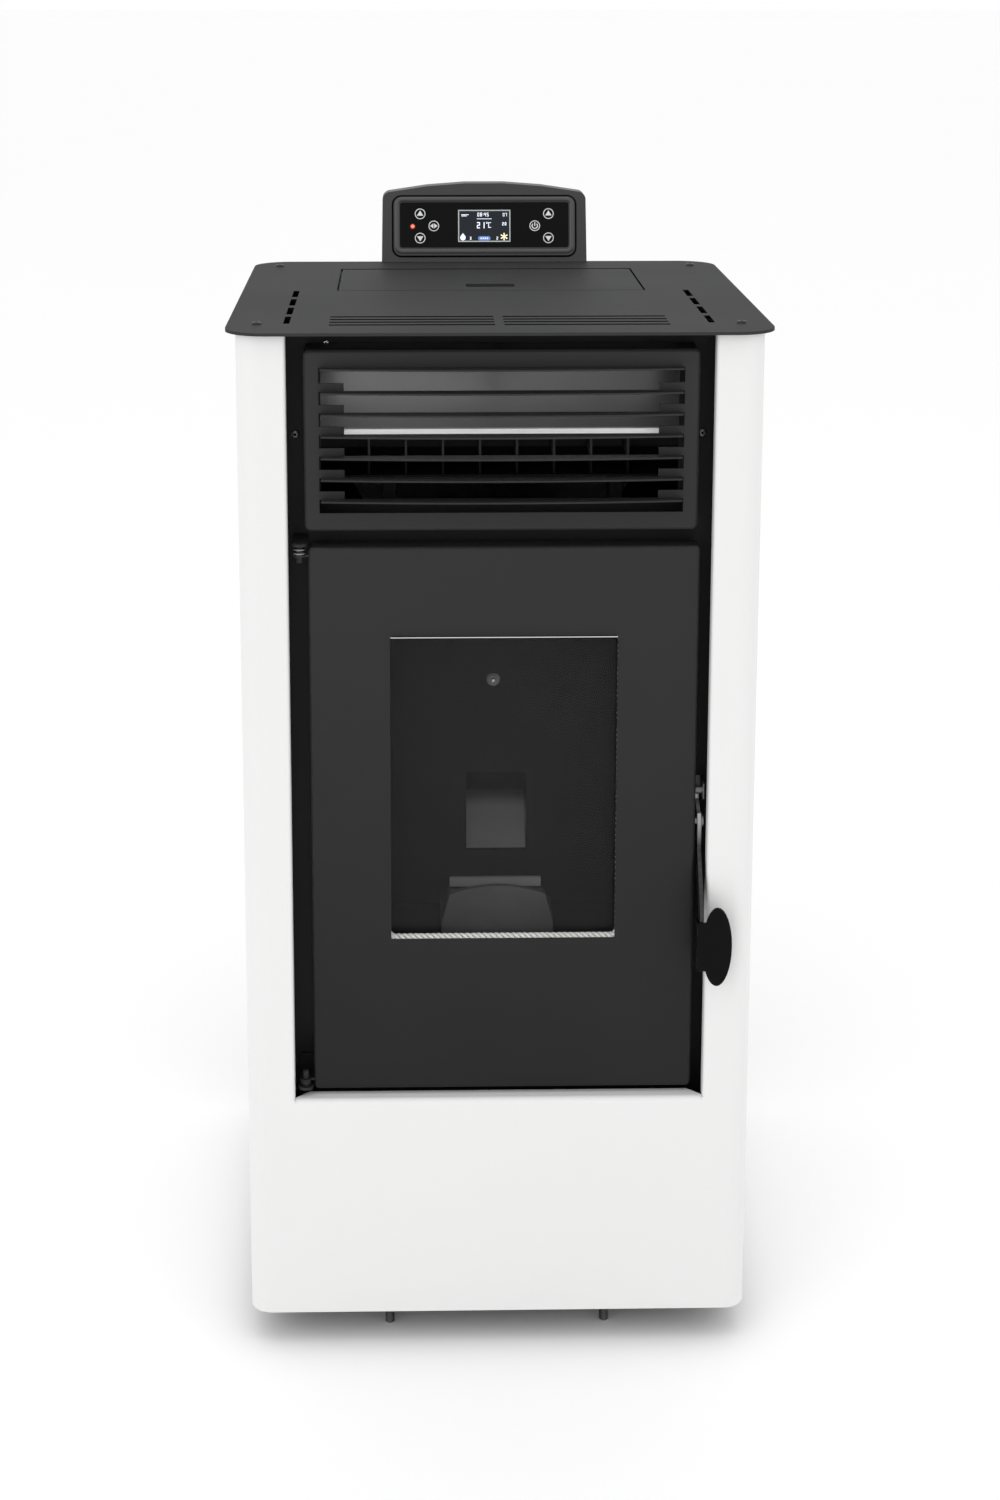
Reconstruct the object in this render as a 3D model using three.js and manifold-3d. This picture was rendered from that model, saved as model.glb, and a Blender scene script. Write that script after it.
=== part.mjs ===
// Free-standing pellet stove: a white sheet-steel casing with a black top plate, a louvred warm-air
// outlet, a glazed fire door with a claw latch, a hopper with a flush lid, and a leaning control panel.
// Millimetres. X is to the right, Y runs from the front to the back, Z is up from the floor. Inside the
// stove group, y = 0 is the top plate's front edge.
import * as THREE from "three";
import { mergeVertices } from "three/addons/utils/BufferGeometryUtils.js";
import Module from "manifold-3d";

const wasm = await Module();
wasm.setup();

// ---------------------------------------------------------------- driving dimensions
const GAP = 0.3; // between pieces that seat on each other
const SHEET = 2; // folded steel sheet

// top plate
const PLATE_WIDTH = 520;
const PLATE_DEPTH = 550;
const PLATE_THICK = 3;
const PLATE_CORNER = 39;
const PLATE_TOP = 1035;
const OVERHANG = 10;
const PLATE_SCREW_INSET = 28.5;
const PLATE_SCREW_FRONT = 59;
const PLATE_SCREW_REAR = 44;
const SCREW_HOLE = 2.6;

// casing
const FLOOR_CLEARANCE = 34;
const CASING_CORNER = 22;
const CASING_REAR_INSET = 12;
const CASING_REAR_RETURN = 16;
const OPENING_WIDTH = 405;
const SILL_HEIGHT = 264;
const SILL_DEPTH = 20;
const SILL_BEND = 6;
const SIDE_RETURN = 14;
const SIDE_BEND = 3.5;

// chassis
const PAN_RIM = 20;
const FRAME_SETBACK = 66;
const FRAME_WIDTH = 430;
const FRAME_FOLD = 22;
const FOOT_SPREAD = 110;
const FOOT_FRONT = 48;
const FOOT_REAR_INSET = 58;
const FOOT_RADIUS = 4.8;
const FOOT_TIP = 2.4;

// plate slots
const SLOT_WIDTH = 4.6;
const SLOT_START = 4.5;
const SLOT_END = 162.5;
const SLOT_FIRST = 52;
const SLOT_PITCH = 18;
const SLOT_ROWS = 4;
const SIDE_SLOT_X = 203.5;
const SIDE_SLOT_WIDTH = 6;
const SIDE_SLOT_LENGTH = 47;
const SIDE_SLOT_FIRST = 62;
const SIDE_SLOT_PITCH = 62.7;
const SIDE_SLOT_COUNT = 4;

// hopper and lid
const LID_WIDTH = 319.5;
const LID_REAR_MARGIN = 74;
const LID_FRONT = 299;
const LID_GAP = 2;
const LID_REAR_GAP = 6;
const LID_SHEET = 2;
const LID_FOLD = 10;
const LID_AXIS_INSET = 5;
const LID_AXIS_DROP = 7;
const LID_PIN = 2;
const LID_HINGE_X = 140;
const CUP_WIDTH = 52;
const CUP_LENGTH = 25;
const CUP_FROM_EDGE = 27;
const CUP_DEEP = 12;
const HOPPER_WALL = 2;
const HOPPER_STRAIGHT = 170;
const HOPPER_RIM = 12;
const GUARD_DROP = 46;
const GUARD_CROSS_BARS = 2;
const GUARD_LONG_BARS = 7;

// feed
const AUGER_X = 3.5;
const CHUTE_WIDTH = 63;
const CHUTE_SILL = 450;
const CHUTE_HEIGHT = 86;
const CHUTE_MOUTH = 600;
const CHUTE_NEAR = 232;
const CHUTE_FAR = 286;
const AUGER_OUTER = 30;
const AUGER_WALL = 3;
const AUGER_TAIL = 40;
const AUGER_LIFT = 76;
const AUGER_LEAD = 12;
const AUGER_SHAFT = 8;
const AUGER_CLEARANCE = 2;
const AUGER_PITCH = 44;
const FLIGHT_THICK = 3;
const FEED_RISE = 77;
const FEED_LENGTH = 56;
const FEED_INSET = 28;
const FEED_HALF = 27;
const GEARBOX_RADIUS = 28;
const GEARBOX_LENGTH = 38;
const GEAR_MOTOR_RADIUS = 22;
const GEAR_MOTOR_LENGTH = 24;

// firebox
const FIRE_CENTRE = 4;
const FIRE_WIDTH = 260;
const FIRE_DEPTH = 147;
const FIRE_FLOOR = 290;
const FIRE_HEIGHT = 513;
const FIRE_WALL = 3;
const FIRE_FLANGE = 20;
const SHELF_HEIGHT = 391;
const SHELF_THICK = 4;
const LEDGE = 10;
const FIREBACK_THICK = 4;
const FIREBACK_TOP = 792;
const BOLT_X = 0;
const BOLT_HEIGHT = 638;
const BOLT_HEAD = 7;
const BOLT_SHANK = 4;

// burn pot
const POT_CENTRE = 2;
const POT_FRONT = 125;
const POT_DEPTH = 70;
const POT_BASE_WIDTH = 115;
const POT_TOP_WIDTH = 98;
const POT_FLANGE = 12;
const POT_REAR_TOP = 416;
const POT_FRONT_TOP = 434;
const POT_ARCH = 9;
const POT_WALL = 7;
const BOWL_DEPTH = 19;
const BOWL_INSET = 13;

// ash pan
const ASH_HEIGHT = 72;
const ASH_FRONT = 76;
const ASH_DEPTH = 124;
const ASH_WIDTH = 236;
const ASH_WALL = 1.6;

// door
const DOOR_WIDTH = 375.8;
const DOOR_BOTTOM = 270;
const DOOR_HEIGHT = 555;
const DOOR_FACE = 22;
const DOOR_TRAY = 25;
const DOOR_BEND = 4;
const DOOR_RETURN = 20;
const WINDOW_WIDTH = 220;
const WINDOW_HEIGHT = 309;
const WINDOW_SILL = 428;
const SEAL_THICK = 12;
const SEAL_WIDTH = 9;
const GLASS_THICK = 4;
const GLASS_LAP = 10;
const ROPE_WIDTH = 12;
const ROPE_INSET = 4;

// door hinges
const HINGE_OFFSET = 8.1;
const HINGE_Y = 24;
const HINGE_PIN = 3;
const HINGE_EAR = 6;
const HINGE_PLATE = 7.3;
const HINGE_STEEL = 3;
const UPPER_EAR = 816;
const LOWER_EAR = 280;
const EAR_THICK = 2;

// latch
const LEVER_THICK = 4;
const LEVER_OFFSET = 2.5;
const LATCH_Y = 33;
const LATCH_Z = 545;
const LATCH_PIN = 4;
const KEEPER_Y = 44;
const KEEPER_Z = 573;
const KEEPER_PIN = 4;
const GRIP_Y = -12;
const GRIP_THICK = 2.5;
const GRIP_WIDTH = 29;
const GRIP_HEIGHT = 81;
const GRIP_CENTRE_X = 211.6;
const GRIP_CENTRE_Z = 431;
const TONGUE_HEIGHT = 50;

// outlet grille
const GRILLE_CENTRE = 1;
const GRILLE_WIDTH = 375.5;
const GRILLE_BOTTOM = 841;
const GRILLE_HEIGHT = 175;
const GRILLE_FACE = 20;
const GRILLE_RIM = 5;
const GRILLE_SHEET = 2;
const LOUVRE_WIDTH = 346;
const LOUVRE_BOTTOM = 859;
const LOUVRE_HEIGHT = 140;
const LOUVRE_ROWS = 6;
const LOUVRE_PITCH = 20.8;
const LOUVRE_TAB_WIDTH = 24;
const LOUVRE_TAB_HEIGHT = 7.9;
const LOUVRE_REACH_END = 11;
const LOUVRE_REACH_MID = 19;
const LOUVRE_SHEET = 1.6;
const LOUVRE_SLIT = 2;
const DEFLECTOR_LIP = 925;
const DEFLECTOR_LIP_HEIGHT = 6;
const DEFLECTOR_REACH = 60;
const DEFLECTOR_RISE = 70;
const COMB_COUNT = 8;
const COMB_PITCH = 35.9;
const COMB_BOTTOM = 884;
const COMB_DEPTH = 62;

// exhaust
const SMOKE_FRONT = 100;
const SMOKE_FAN_GAP = 100;
const SMOKE_SIDE_WIDTH = 90;
const SMOKE_SIDE_HALF = 70;
const SMOKE_PORT = 28;
const SMOKE_HALF = 100;
const SMOKE_SIDE_REACH = 60;
const EXHAUST_X = 20;
const EXHAUST_WIDE = 60;
const EXHAUST_INSET = 150;
const EXHAUST_Z = 140;
const EXHAUST_RADIUS = 75;
const IMPELLER_RADIUS = 60;
const IMPELLER_BLADES = 8;
const MOTOR_RADIUS = 35;
const MOTOR_LENGTH = 68;
const FAN_SHAFT = 4;
const SPIGOT_RADIUS = 40;
const SPIGOT_RISE = 40;
const SPIGOT_INSET = 70;
const SPIGOT_REACH = 40;
const SPIGOT_WALL = 2;
const INTAKE_X = -60;
const INTAKE_Z = 330;
const INTAKE_RADIUS = 25;
const INTAKE_REACH = 12;

// room-air blower
const BLOWER_LEFT = -200;
const BLOWER_WIDE = 88;
const BLOWER_INSET = 150;
const BLOWER_HALF = 66;
const BLOWER_HEIGHT = 150;
const DRUM_RADIUS = 50;
const DRUM_BLADES = 14;
const BLOWER_MOTOR_LENGTH = 34;

// electrics on the rear panel
const INLET_X = 190;
const INLET_Z = 118;
const INLET_HALF_WIDTH = 15;
const INLET_HALF_HEIGHT = 25;
const ROCKER_HALF = 6;
const VENT_ROWS = 6;
const VENT_PITCH = 16;
const VENT_WIDTH = 6;
const VENT_LENGTH = 120;
const UPPER_VENT = 830;
const BOARD_X = 168;
const BOARD_Z = 490;
const BOARD_HALF_WIDTH = 58;
const BOARD_HALF_HEIGHT = 70;
const BOARD_STANDOFF = 12;
const RESET_X = 130;
const RESET_Z = 118;
const RESET_RADIUS = 8;

// control panel
const PANEL_INSET = 9;
const PANEL_LEAN = 10 * Math.PI / 180;
const PANEL_WIDTH = 234;
const PANEL_SHOULDER = 80;
const PANEL_ARCH = 10;
const PANEL_THICK = 26;
const PANEL_CORNER = 9;
const BEZEL_WIDTH = 207;
const BEZEL_BOTTOM = 7.3;
const BEZEL_HEIGHT = 67;
const BEZEL_PROUD = 3;
const OVERLAY_WIDTH = 192;
const OVERLAY_BOTTOM = 16.5;
const OVERLAY_HEIGHT = 51;
const OVERLAY_THICK = 2;
const SCREEN_WIDTH = 60.7;
const SCREEN_HEIGHT = 37.5;
const SCREEN_THICK = 1.2;
const KEY_RADIUS = 6.6;
const KEY_CENTRE = 40.9;
const KEY_RISE = 13.8;
const KEY_TRAVEL = 0.5;
const KEY_PROUD = 0.8;
const KEY_CLEARANCE = 0.4;
const OUTER_KEY_X = 73.2;
const INNER_KEY_X = 57.6;

// ---------------------------------------------------------------- places worked out from them
const plateUnder = PLATE_TOP - PLATE_THICK;
const panelFront = PLATE_DEPTH - PANEL_INSET;
const footRear = PLATE_DEPTH - FOOT_REAR_INSET;
const exhaustY = PLATE_DEPTH - EXHAUST_INSET;
const blowerY = PLATE_DEPTH - BLOWER_INSET;
const smokeBack = exhaustY - SMOKE_FAN_GAP;
const smokeSideBack = exhaustY + SMOKE_SIDE_REACH;
const spigotStart = PLATE_DEPTH - SPIGOT_INSET;
const spigotEnd = PLATE_DEPTH + SPIGOT_REACH;
const intakeEnd = PLATE_DEPTH + INTAKE_REACH;
const casingHalf = PLATE_WIDTH / 2 - OVERHANG;
const casingFront = OVERHANG;
const casingBack = PLATE_DEPTH - CASING_REAR_INSET;
const casingTop = plateUnder - GAP;
const insideHalf = casingHalf - SHEET - GAP;
const openingHalf = OPENING_WIDTH / 2;
const panBottom = FLOOR_CLEARANCE + GAP;
const panFloor = panBottom + SHEET;
const rearFace = casingBack - SHEET - GAP - SHEET;
const frameBack = FRAME_SETBACK + SHEET;
const fireFront = frameBack + GAP;
const fireRear = fireFront + FIRE_DEPTH;
const fireLeft = FIRE_CENTRE - FIRE_WIDTH / 2;
const fireRight = FIRE_CENTRE + FIRE_WIDTH / 2;
const fireTop = FIRE_FLOOR + FIRE_HEIGHT;
const doorLeft = FIRE_CENTRE - DOOR_WIDTH / 2;
const doorRight = FIRE_CENTRE + DOOR_WIDTH / 2;
const doorTop = DOOR_BOTTOM + DOOR_HEIGHT;
const doorBack = DOOR_FACE + DOOR_TRAY;
const hingeX = doorLeft - HINGE_OFFSET;
const windowX = [FIRE_CENTRE - WINDOW_WIDTH / 2, FIRE_CENTRE + WINDOW_WIDTH / 2];
const windowZ = [WINDOW_SILL, WINDOW_SILL + WINDOW_HEIGHT];
const sealFront = DOOR_FACE + SHEET + GAP;
const glassFront = sealFront + SEAL_THICK + GAP;
const glassBack = glassFront + GLASS_THICK;
const leverX = doorRight + LEVER_OFFSET;
const grilleLeft = GRILLE_CENTRE - GRILLE_WIDTH / 2;
const grilleRight = GRILLE_CENTRE + GRILLE_WIDTH / 2;
const louvreLeft = GRILLE_CENTRE - LOUVRE_WIDTH / 2;
const louvreRight = GRILLE_CENTRE + LOUVRE_WIDTH / 2;
const louvreTop = LOUVRE_BOTTOM + LOUVRE_HEIGHT;
const lidHalf = LID_WIDTH / 2;
const lidBack = PLATE_DEPTH - LID_REAR_MARGIN;
const lidAxisY = lidBack - LID_AXIS_INSET;
const lidAxisZ = PLATE_TOP - LID_AXIS_DROP;
const lidHole = [[-lidHalf - LID_GAP, lidHalf + LID_GAP], [LID_FRONT - LID_GAP, lidBack + LID_REAR_GAP]];
const hopperX = [lidHole[0][0] - HOPPER_WALL, lidHole[0][1] + HOPPER_WALL];
const hopperY = [lidHole[1][0] - HOPPER_WALL, lidHole[1][1] + HOPPER_WALL];
const hopperTop = plateUnder - GAP;
const shoulderZ = hopperTop - HOPPER_STRAIGHT;
const feedFar = lidBack - FEED_INSET;
const feedNear = feedFar - FEED_LENGTH;
const feedY = (feedNear + feedFar) / 2;
const chuteY = (CHUTE_NEAR + CHUTE_FAR) / 2;
const augerHeight = CHUTE_MOUTH + AUGER_LIFT;
const augerLength = Math.round((feedY - chuteY) * Math.SQRT2) + AUGER_TAIL;
const feedHeight = augerHeight - (feedY - chuteY) + FEED_RISE;
const augerTop = new THREE.Vector3(AUGER_X, chuteY - AUGER_LEAD, augerHeight + AUGER_LEAD);
const augerDown = new THREE.Vector3(0, Math.SQRT1_2, -Math.SQRT1_2);
const spigotZ = EXHAUST_Z + SPIGOT_RISE;
const exhaustMid = EXHAUST_X + EXHAUST_WIDE / 2;

// ---------------------------------------------------------------- shaping helpers
const AXIS_X = new THREE.Vector3(1, 0, 0);
const AXIS_Y = new THREE.Vector3(0, 1, 0);
const AXIS_Z = new THREE.Vector3(0, 0, 1);

// A box between two values on each axis.
function block([x0, x1], [y0, y1], [z0, z1]) {
  const box = new THREE.BoxGeometry(x1 - x0, y1 - y0, z1 - z0);
  return box.translate((x0 + x1) / 2, (y0 + y1) / 2, (z0 + z1) / 2);
}

// Turns a geometry so that its x and y follow u and v, and puts its origin at a point.
function placed(geometry, u, v, origin = new THREE.Vector3()) {
  const w = new THREE.Vector3().crossVectors(u, v);
  return geometry.applyMatrix4(new THREE.Matrix4().makeBasis(u, v, w).setPosition(origin));
}

function extruded(shape, depth, curveSegments) {
  return new THREE.ExtrudeGeometry(shape, { depth, curveSegments, bevelEnabled: false });
}

function levelSheet(shape, [z0, z1], curveSegments = 3) {
  return extruded(shape, z1 - z0, curveSegments).translate(0, 0, z0);
}

function frontSheet(shape, [y0, y1], curveSegments = 3) {
  return placed(extruded(shape, y1 - y0, curveSegments), AXIS_X, AXIS_Z, new THREE.Vector3(0, y1, 0));
}

function sideSheet(shape, [x0, x1], curveSegments = 3) {
  return placed(extruded(shape, x1 - x0, curveSegments), AXIS_Y, AXIS_Z, new THREE.Vector3(x0, 0, 0));
}

// A rod between two values along an axis, at [a, b] on the other two axes in X, Y, Z order.
function rod(axis, radius, [from, to], [a, b], segments = 20) {
  const cylinder = new THREE.CylinderGeometry(radius, radius, to - from, segments);
  const middle = (from + to) / 2;
  if (axis === "x") return cylinder.rotateZ(Math.PI / 2).translate(middle, a, b);
  if (axis === "y") return cylinder.translate(a, middle, b);
  return cylinder.rotateX(Math.PI / 2).translate(a, b, middle);
}

function rectangle([x0, x1], [y0, y1], radius = 0) {
  const shape = new THREE.Shape();
  if (radius === 0) {
    shape.moveTo(x0, y0);
    shape.lineTo(x1, y0);
    shape.lineTo(x1, y1);
    shape.lineTo(x0, y1);
    shape.closePath();
    return shape;
  }
  shape.moveTo(x0 + radius, y0);
  shape.lineTo(x1 - radius, y0);
  shape.absarc(x1 - radius, y0 + radius, radius, -Math.PI / 2, 0, false);
  shape.lineTo(x1, y1 - radius);
  shape.absarc(x1 - radius, y1 - radius, radius, 0, Math.PI / 2, false);
  shape.lineTo(x0 + radius, y1);
  shape.absarc(x0 + radius, y1 - radius, radius, Math.PI / 2, Math.PI, false);
  shape.lineTo(x0, y0 + radius);
  shape.absarc(x0 + radius, y0 + radius, radius, Math.PI, 1.5 * Math.PI, false);
  return shape;
}

function polygon(points) {
  return new THREE.Shape(points.map(([x, y]) => new THREE.Vector2(x, y)));
}

// A flat frame: a rectangle with a rectangular hole.
function frameShape(outerX, outerY, innerX, innerY, radius = 0) {
  const shape = rectangle(outerX, outerY, radius);
  shape.holes.push(rectangle(innerX, innerY));
  return shape;
}

// A box whose top rectangle differs from its bottom one.
function tapered(bottom, top, [z0, z1]) {
  const box = new THREE.BoxGeometry(1, 1, 1);
  const corners = box.attributes.position;
  for (let i = 0; i < corners.count; i += 1) {
    const [spanX, spanY] = corners.getZ(i) > 0 ? top : bottom;
    const x = corners.getX(i) > 0 ? spanX[1] : spanX[0];
    const y = corners.getY(i) > 0 ? spanY[1] : spanY[0];
    corners.setXYZ(i, x, y, corners.getZ(i) > 0 ? z1 : z0);
  }
  return box;
}

function toSolid(geometry) {
  const bare = geometry.clone();
  bare.deleteAttribute("normal");
  bare.deleteAttribute("uv");
  const merged = mergeVertices(bare, 1e-4);
  const vertProperties = Float32Array.from(merged.attributes.position.array);
  const triVerts = Uint32Array.from(merged.index.array);
  return new wasm.Manifold(new wasm.Mesh({ numProp: 3, vertProperties, triVerts }));
}

function toGeometry(solid) {
  const mesh = solid.getMesh();
  const geometry = new THREE.BufferGeometry();
  geometry.setAttribute("position", new THREE.BufferAttribute(mesh.vertProperties, 3));
  geometry.setIndex(new THREE.BufferAttribute(mesh.triVerts, 1));
  geometry.computeVertexNormals();
  return geometry;
}

function join(...parts) {
  return toGeometry(parts.map(toSolid).reduce((whole, piece) => whole.add(piece)));
}

function cut(base, ...tools) {
  return toGeometry(tools.map(toSolid).reduce((whole, tool) => whole.subtract(tool), toSolid(base)));
}

function grown([low, high], by) {
  return [low - by, high + by];
}

function around(centre, half) {
  return [centre - half, centre + half];
}

const paint = {
  white: new THREE.MeshStandardMaterial({ color: 0xeeeeee, roughness: 0.35, metalness: 0.0 }),
  black: new THREE.MeshStandardMaterial({ color: 0x303234, roughness: 0.55, metalness: 0.1 }),
  plate: new THREE.MeshStandardMaterial({ color: 0x4a4c4e, roughness: 0.5, metalness: 0.1 }),
  bare: new THREE.MeshStandardMaterial({ color: 0xb8bcc0, roughness: 0.35, metalness: 0.9 }),
  cast: new THREE.MeshStandardMaterial({ color: 0x454545, roughness: 0.8, metalness: 0.4 }),
  rope: new THREE.MeshStandardMaterial({ color: 0xd8d6d0, roughness: 0.95, metalness: 0.0 }),
  glass: new THREE.MeshStandardMaterial({ color: 0x20242a, roughness: 0.05, metalness: 0.0 }),
  plastic: new THREE.MeshStandardMaterial({ color: 0x26282a, roughness: 0.5, metalness: 0.0 }),
};

const stove = new THREE.Group();
stove.position.y = -(spigotEnd + GRIP_Y) / 2;

// Adds a sub-part with a material of its own to a group.
function add(name, geometry, finish, parent = stove) {
  const mesh = new THREE.Mesh(geometry, finish.clone());
  mesh.name = name;
  parent.add(mesh);
}

// ---------------------------------------------------------------- casing, chassis and feet
function topPlate() {
  const half = PLATE_WIDTH / 2;
  const through = [plateUnder - 1, PLATE_TOP + 1];
  const sheet = levelSheet(rectangle([-half, half], [0, PLATE_DEPTH], PLATE_CORNER), [plateUnder, PLATE_TOP], 4);
  const openings = [block(...lidHole, through)];
  for (const side of [-1, 1]) {
    for (let row = 0; row < SLOT_ROWS; row += 1) {
      const ends = side < 0 ? [-SLOT_END, -SLOT_START] : [SLOT_START, SLOT_END];
      openings.push(block(ends, around(SLOT_FIRST + row * SLOT_PITCH, SLOT_WIDTH / 2), through));
    }
    for (let n = 0; n < SIDE_SLOT_COUNT; n += 1) {
      const start = SIDE_SLOT_FIRST + n * SIDE_SLOT_PITCH;
      const across = around(side * SIDE_SLOT_X, SIDE_SLOT_WIDTH / 2);
      openings.push(block(across, [start, start + SIDE_SLOT_LENGTH], through));
    }
    for (const y of [PLATE_SCREW_FRONT, PLATE_DEPTH - PLATE_SCREW_REAR]) {
      openings.push(rod("z", SCREW_HOLE, through, [side * (half - PLATE_SCREW_INSET), y], 10));
    }
  }
  return cut(sheet, ...openings);
}

// The wrap in plan: from one rear return round the front to the other, and back along the inside.
function casingPlan() {
  const r = CASING_CORNER;
  const inner = r - SHEET;
  const rearEdge = casingHalf - CASING_REAR_RETURN;
  const plan = new THREE.Shape();
  plan.moveTo(-rearEdge, casingBack);
  plan.lineTo(-casingHalf, casingBack);
  plan.lineTo(-casingHalf, casingFront + r);
  plan.absarc(-casingHalf + r, casingFront + r, r, Math.PI, 1.5 * Math.PI, false);
  plan.lineTo(casingHalf - r, casingFront);
  plan.absarc(casingHalf - r, casingFront + r, r, -Math.PI / 2, 0, false);
  plan.lineTo(casingHalf, casingBack);
  plan.lineTo(rearEdge, casingBack);
  plan.lineTo(rearEdge, casingBack - SHEET);
  plan.lineTo(casingHalf - SHEET, casingBack - SHEET);
  plan.lineTo(casingHalf - SHEET, casingFront + r);
  plan.absarc(casingHalf - r, casingFront + r, inner, 0, -Math.PI / 2, true);
  plan.lineTo(-casingHalf + r, casingFront + SHEET);
  plan.absarc(-casingHalf + r, casingFront + r, inner, 1.5 * Math.PI, Math.PI, true);
  plan.lineTo(-casingHalf + SHEET, casingBack - SHEET);
  plan.lineTo(-rearEdge, casingBack - SHEET);
  return plan;
}

// A sheet edge bent inward, drawn with x into the stove and y away from the opening.
function bentEdge(bend, depth) {
  const shape = new THREE.Shape();
  shape.moveTo(0, bend + 1);
  shape.lineTo(0, bend);
  shape.absarc(bend, bend, bend, Math.PI, 1.5 * Math.PI, false);
  shape.lineTo(depth, 0);
  shape.lineTo(depth, SHEET);
  shape.lineTo(bend, SHEET);
  shape.absarc(bend, bend, bend - SHEET, 1.5 * Math.PI, Math.PI, true);
  shape.lineTo(SHEET, bend + 1);
  return shape;
}

function casing() {
  const wrap = levelSheet(casingPlan(), [FLOOR_CLEARANCE, casingTop], 4);
  const face = [casingFront - 1, casingFront + SHEET + 1];
  const wide = block(around(0, openingHalf + SIDE_BEND), face, [SILL_HEIGHT, casingTop + 1]);
  const low = block(around(0, openingHalf), face, [SILL_HEIGHT - SILL_BEND, SILL_HEIGHT + 1]);
  const down = AXIS_Z.clone().negate();
  const left = AXIS_X.clone().negate();
  const sill = placed(extruded(bentEdge(SILL_BEND, SILL_DEPTH), OPENING_WIDTH, 4), AXIS_Y, down,
    new THREE.Vector3(openingHalf, casingFront, SILL_HEIGHT));
  const mitre = SILL_DEPTH - SILL_BEND + 1;
  const corners = [-1, 1].map((side) => levelSheet(polygon([
    [side * (openingHalf + 1), casingFront + SILL_BEND - 1],
    [side * (openingHalf + 1), casingFront + SILL_DEPTH + 1],
    [side * (openingHalf - mitre), casingFront + SILL_DEPTH + 1],
  ]), [SILL_HEIGHT - SILL_BEND - 2, SILL_HEIGHT + 1]));
  const rise = casingTop - SILL_HEIGHT;
  const leftEdge = placed(extruded(bentEdge(SIDE_BEND, SIDE_RETURN), rise, 3), AXIS_Y, left,
    new THREE.Vector3(-openingHalf, casingFront, SILL_HEIGHT));
  const rightEdge = placed(extruded(bentEdge(SIDE_BEND, SIDE_RETURN), rise, 3), AXIS_Y, AXIS_X,
    new THREE.Vector3(openingHalf, casingFront, casingTop));
  return join(cut(wrap, wide, low), cut(sill, ...corners), leftEdge, rightEdge);
}

function basePan() {
  const corner = CASING_CORNER - SHEET - GAP;
  const front = casingFront + SHEET + GAP;
  const back = rearFace - GAP;
  const tray = levelSheet(rectangle(around(0, insideHalf), [front, back], corner),
    [panBottom, panFloor + PAN_RIM], 4);
  const hollow = levelSheet(rectangle(around(0, insideHalf - SHEET), [front + SHEET, back - SHEET],
    corner - SHEET), [panFloor, panFloor + PAN_RIM + 1], 4);
  const holes = footPlaces().map(([x, y]) => (
    rod("z", FOOT_RADIUS + GAP, [panBottom - 1, panFloor + 1], [x, y], 16)));
  return cut(tray, hollow, ...holes);
}

function footPlaces() {
  return [[-FOOT_SPREAD, FOOT_FRONT], [FOOT_SPREAD, FOOT_FRONT],
    [-FOOT_SPREAD, footRear], [FOOT_SPREAD, footRear]];
}

// A levelling stud with a rounded tip and two nuts that grip the base pan.
function foot([x, y]) {
  const profile = new THREE.Path();
  const nut = FOOT_RADIUS * 1.75;
  const nutHeight = 7;
  profile.moveTo(0, 0);
  profile.lineTo(FOOT_TIP, 0);
  profile.absarc(FOOT_TIP, FOOT_RADIUS - FOOT_TIP, FOOT_RADIUS - FOOT_TIP, -Math.PI / 2, 0, false);
  profile.lineTo(FOOT_RADIUS, panBottom - GAP - nutHeight);
  profile.lineTo(nut, panBottom - GAP - nutHeight);
  profile.lineTo(nut, panBottom - GAP);
  profile.lineTo(FOOT_RADIUS, panBottom - GAP);
  profile.lineTo(FOOT_RADIUS, panFloor + GAP);
  profile.lineTo(nut, panFloor + GAP);
  profile.lineTo(nut, panFloor + GAP + nutHeight);
  profile.lineTo(FOOT_RADIUS, panFloor + GAP + nutHeight);
  profile.lineTo(FOOT_RADIUS, panFloor + 2 * nutHeight);
  profile.lineTo(0, panFloor + 2 * nutHeight);
  const turned = new THREE.LatheGeometry(profile.getPoints(2), 10);
  return turned.rotateX(Math.PI / 2).translate(x, y, 0);
}

function rearPanel() {
  const through = [rearFace - 1, rearFace + SHEET + 1];
  const openings = [rod("y", SPIGOT_RADIUS + GAP, through, [exhaustMid, spigotZ], 28),
    rod("y", INTAKE_RADIUS + GAP, through, [INTAKE_X, INTAKE_Z], 24),
    rod("y", RESET_RADIUS, through, [RESET_X, RESET_Z], 16),
    block(around(INLET_X, INLET_HALF_WIDTH + GAP), through, around(INLET_Z, INLET_HALF_HEIGHT + GAP))];
  for (let n = 0; n < VENT_ROWS; n += 1) {
    const low = panFloor + PAN_RIM + VENT_PITCH + n * VENT_PITCH;
    openings.push(block([BLOWER_LEFT, BLOWER_LEFT + VENT_LENGTH], through, [low, low + VENT_WIDTH]));
    const high = UPPER_VENT + n * VENT_PITCH;
    openings.push(block(around(0, VENT_LENGTH / 2), through, [high, high + VENT_WIDTH]));
  }
  const sheet = block(around(0, insideHalf), [rearFace, rearFace + SHEET], [panBottom, casingTop]);
  return cut(sheet, ...openings);
}

function frontFrame() {
  const half = FRAME_WIDTH / 2;
  const upright = [panFloor + GAP, casingTop];
  const through = grown([FRAME_SETBACK, frameBack], 1);
  return cut(block([-half, half], [FRAME_SETBACK, frameBack + FRAME_FOLD], upright),
    block([-half + SHEET, half - SHEET], [frameBack, frameBack + FRAME_FOLD + 1], grown(upright, 1)),
    block([fireLeft, fireRight], through, grown([FIRE_FLOOR, fireTop], -FIRE_WALL)),
    block([louvreLeft, louvreRight], through, [LOUVRE_BOTTOM, louvreTop]));
}

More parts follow.
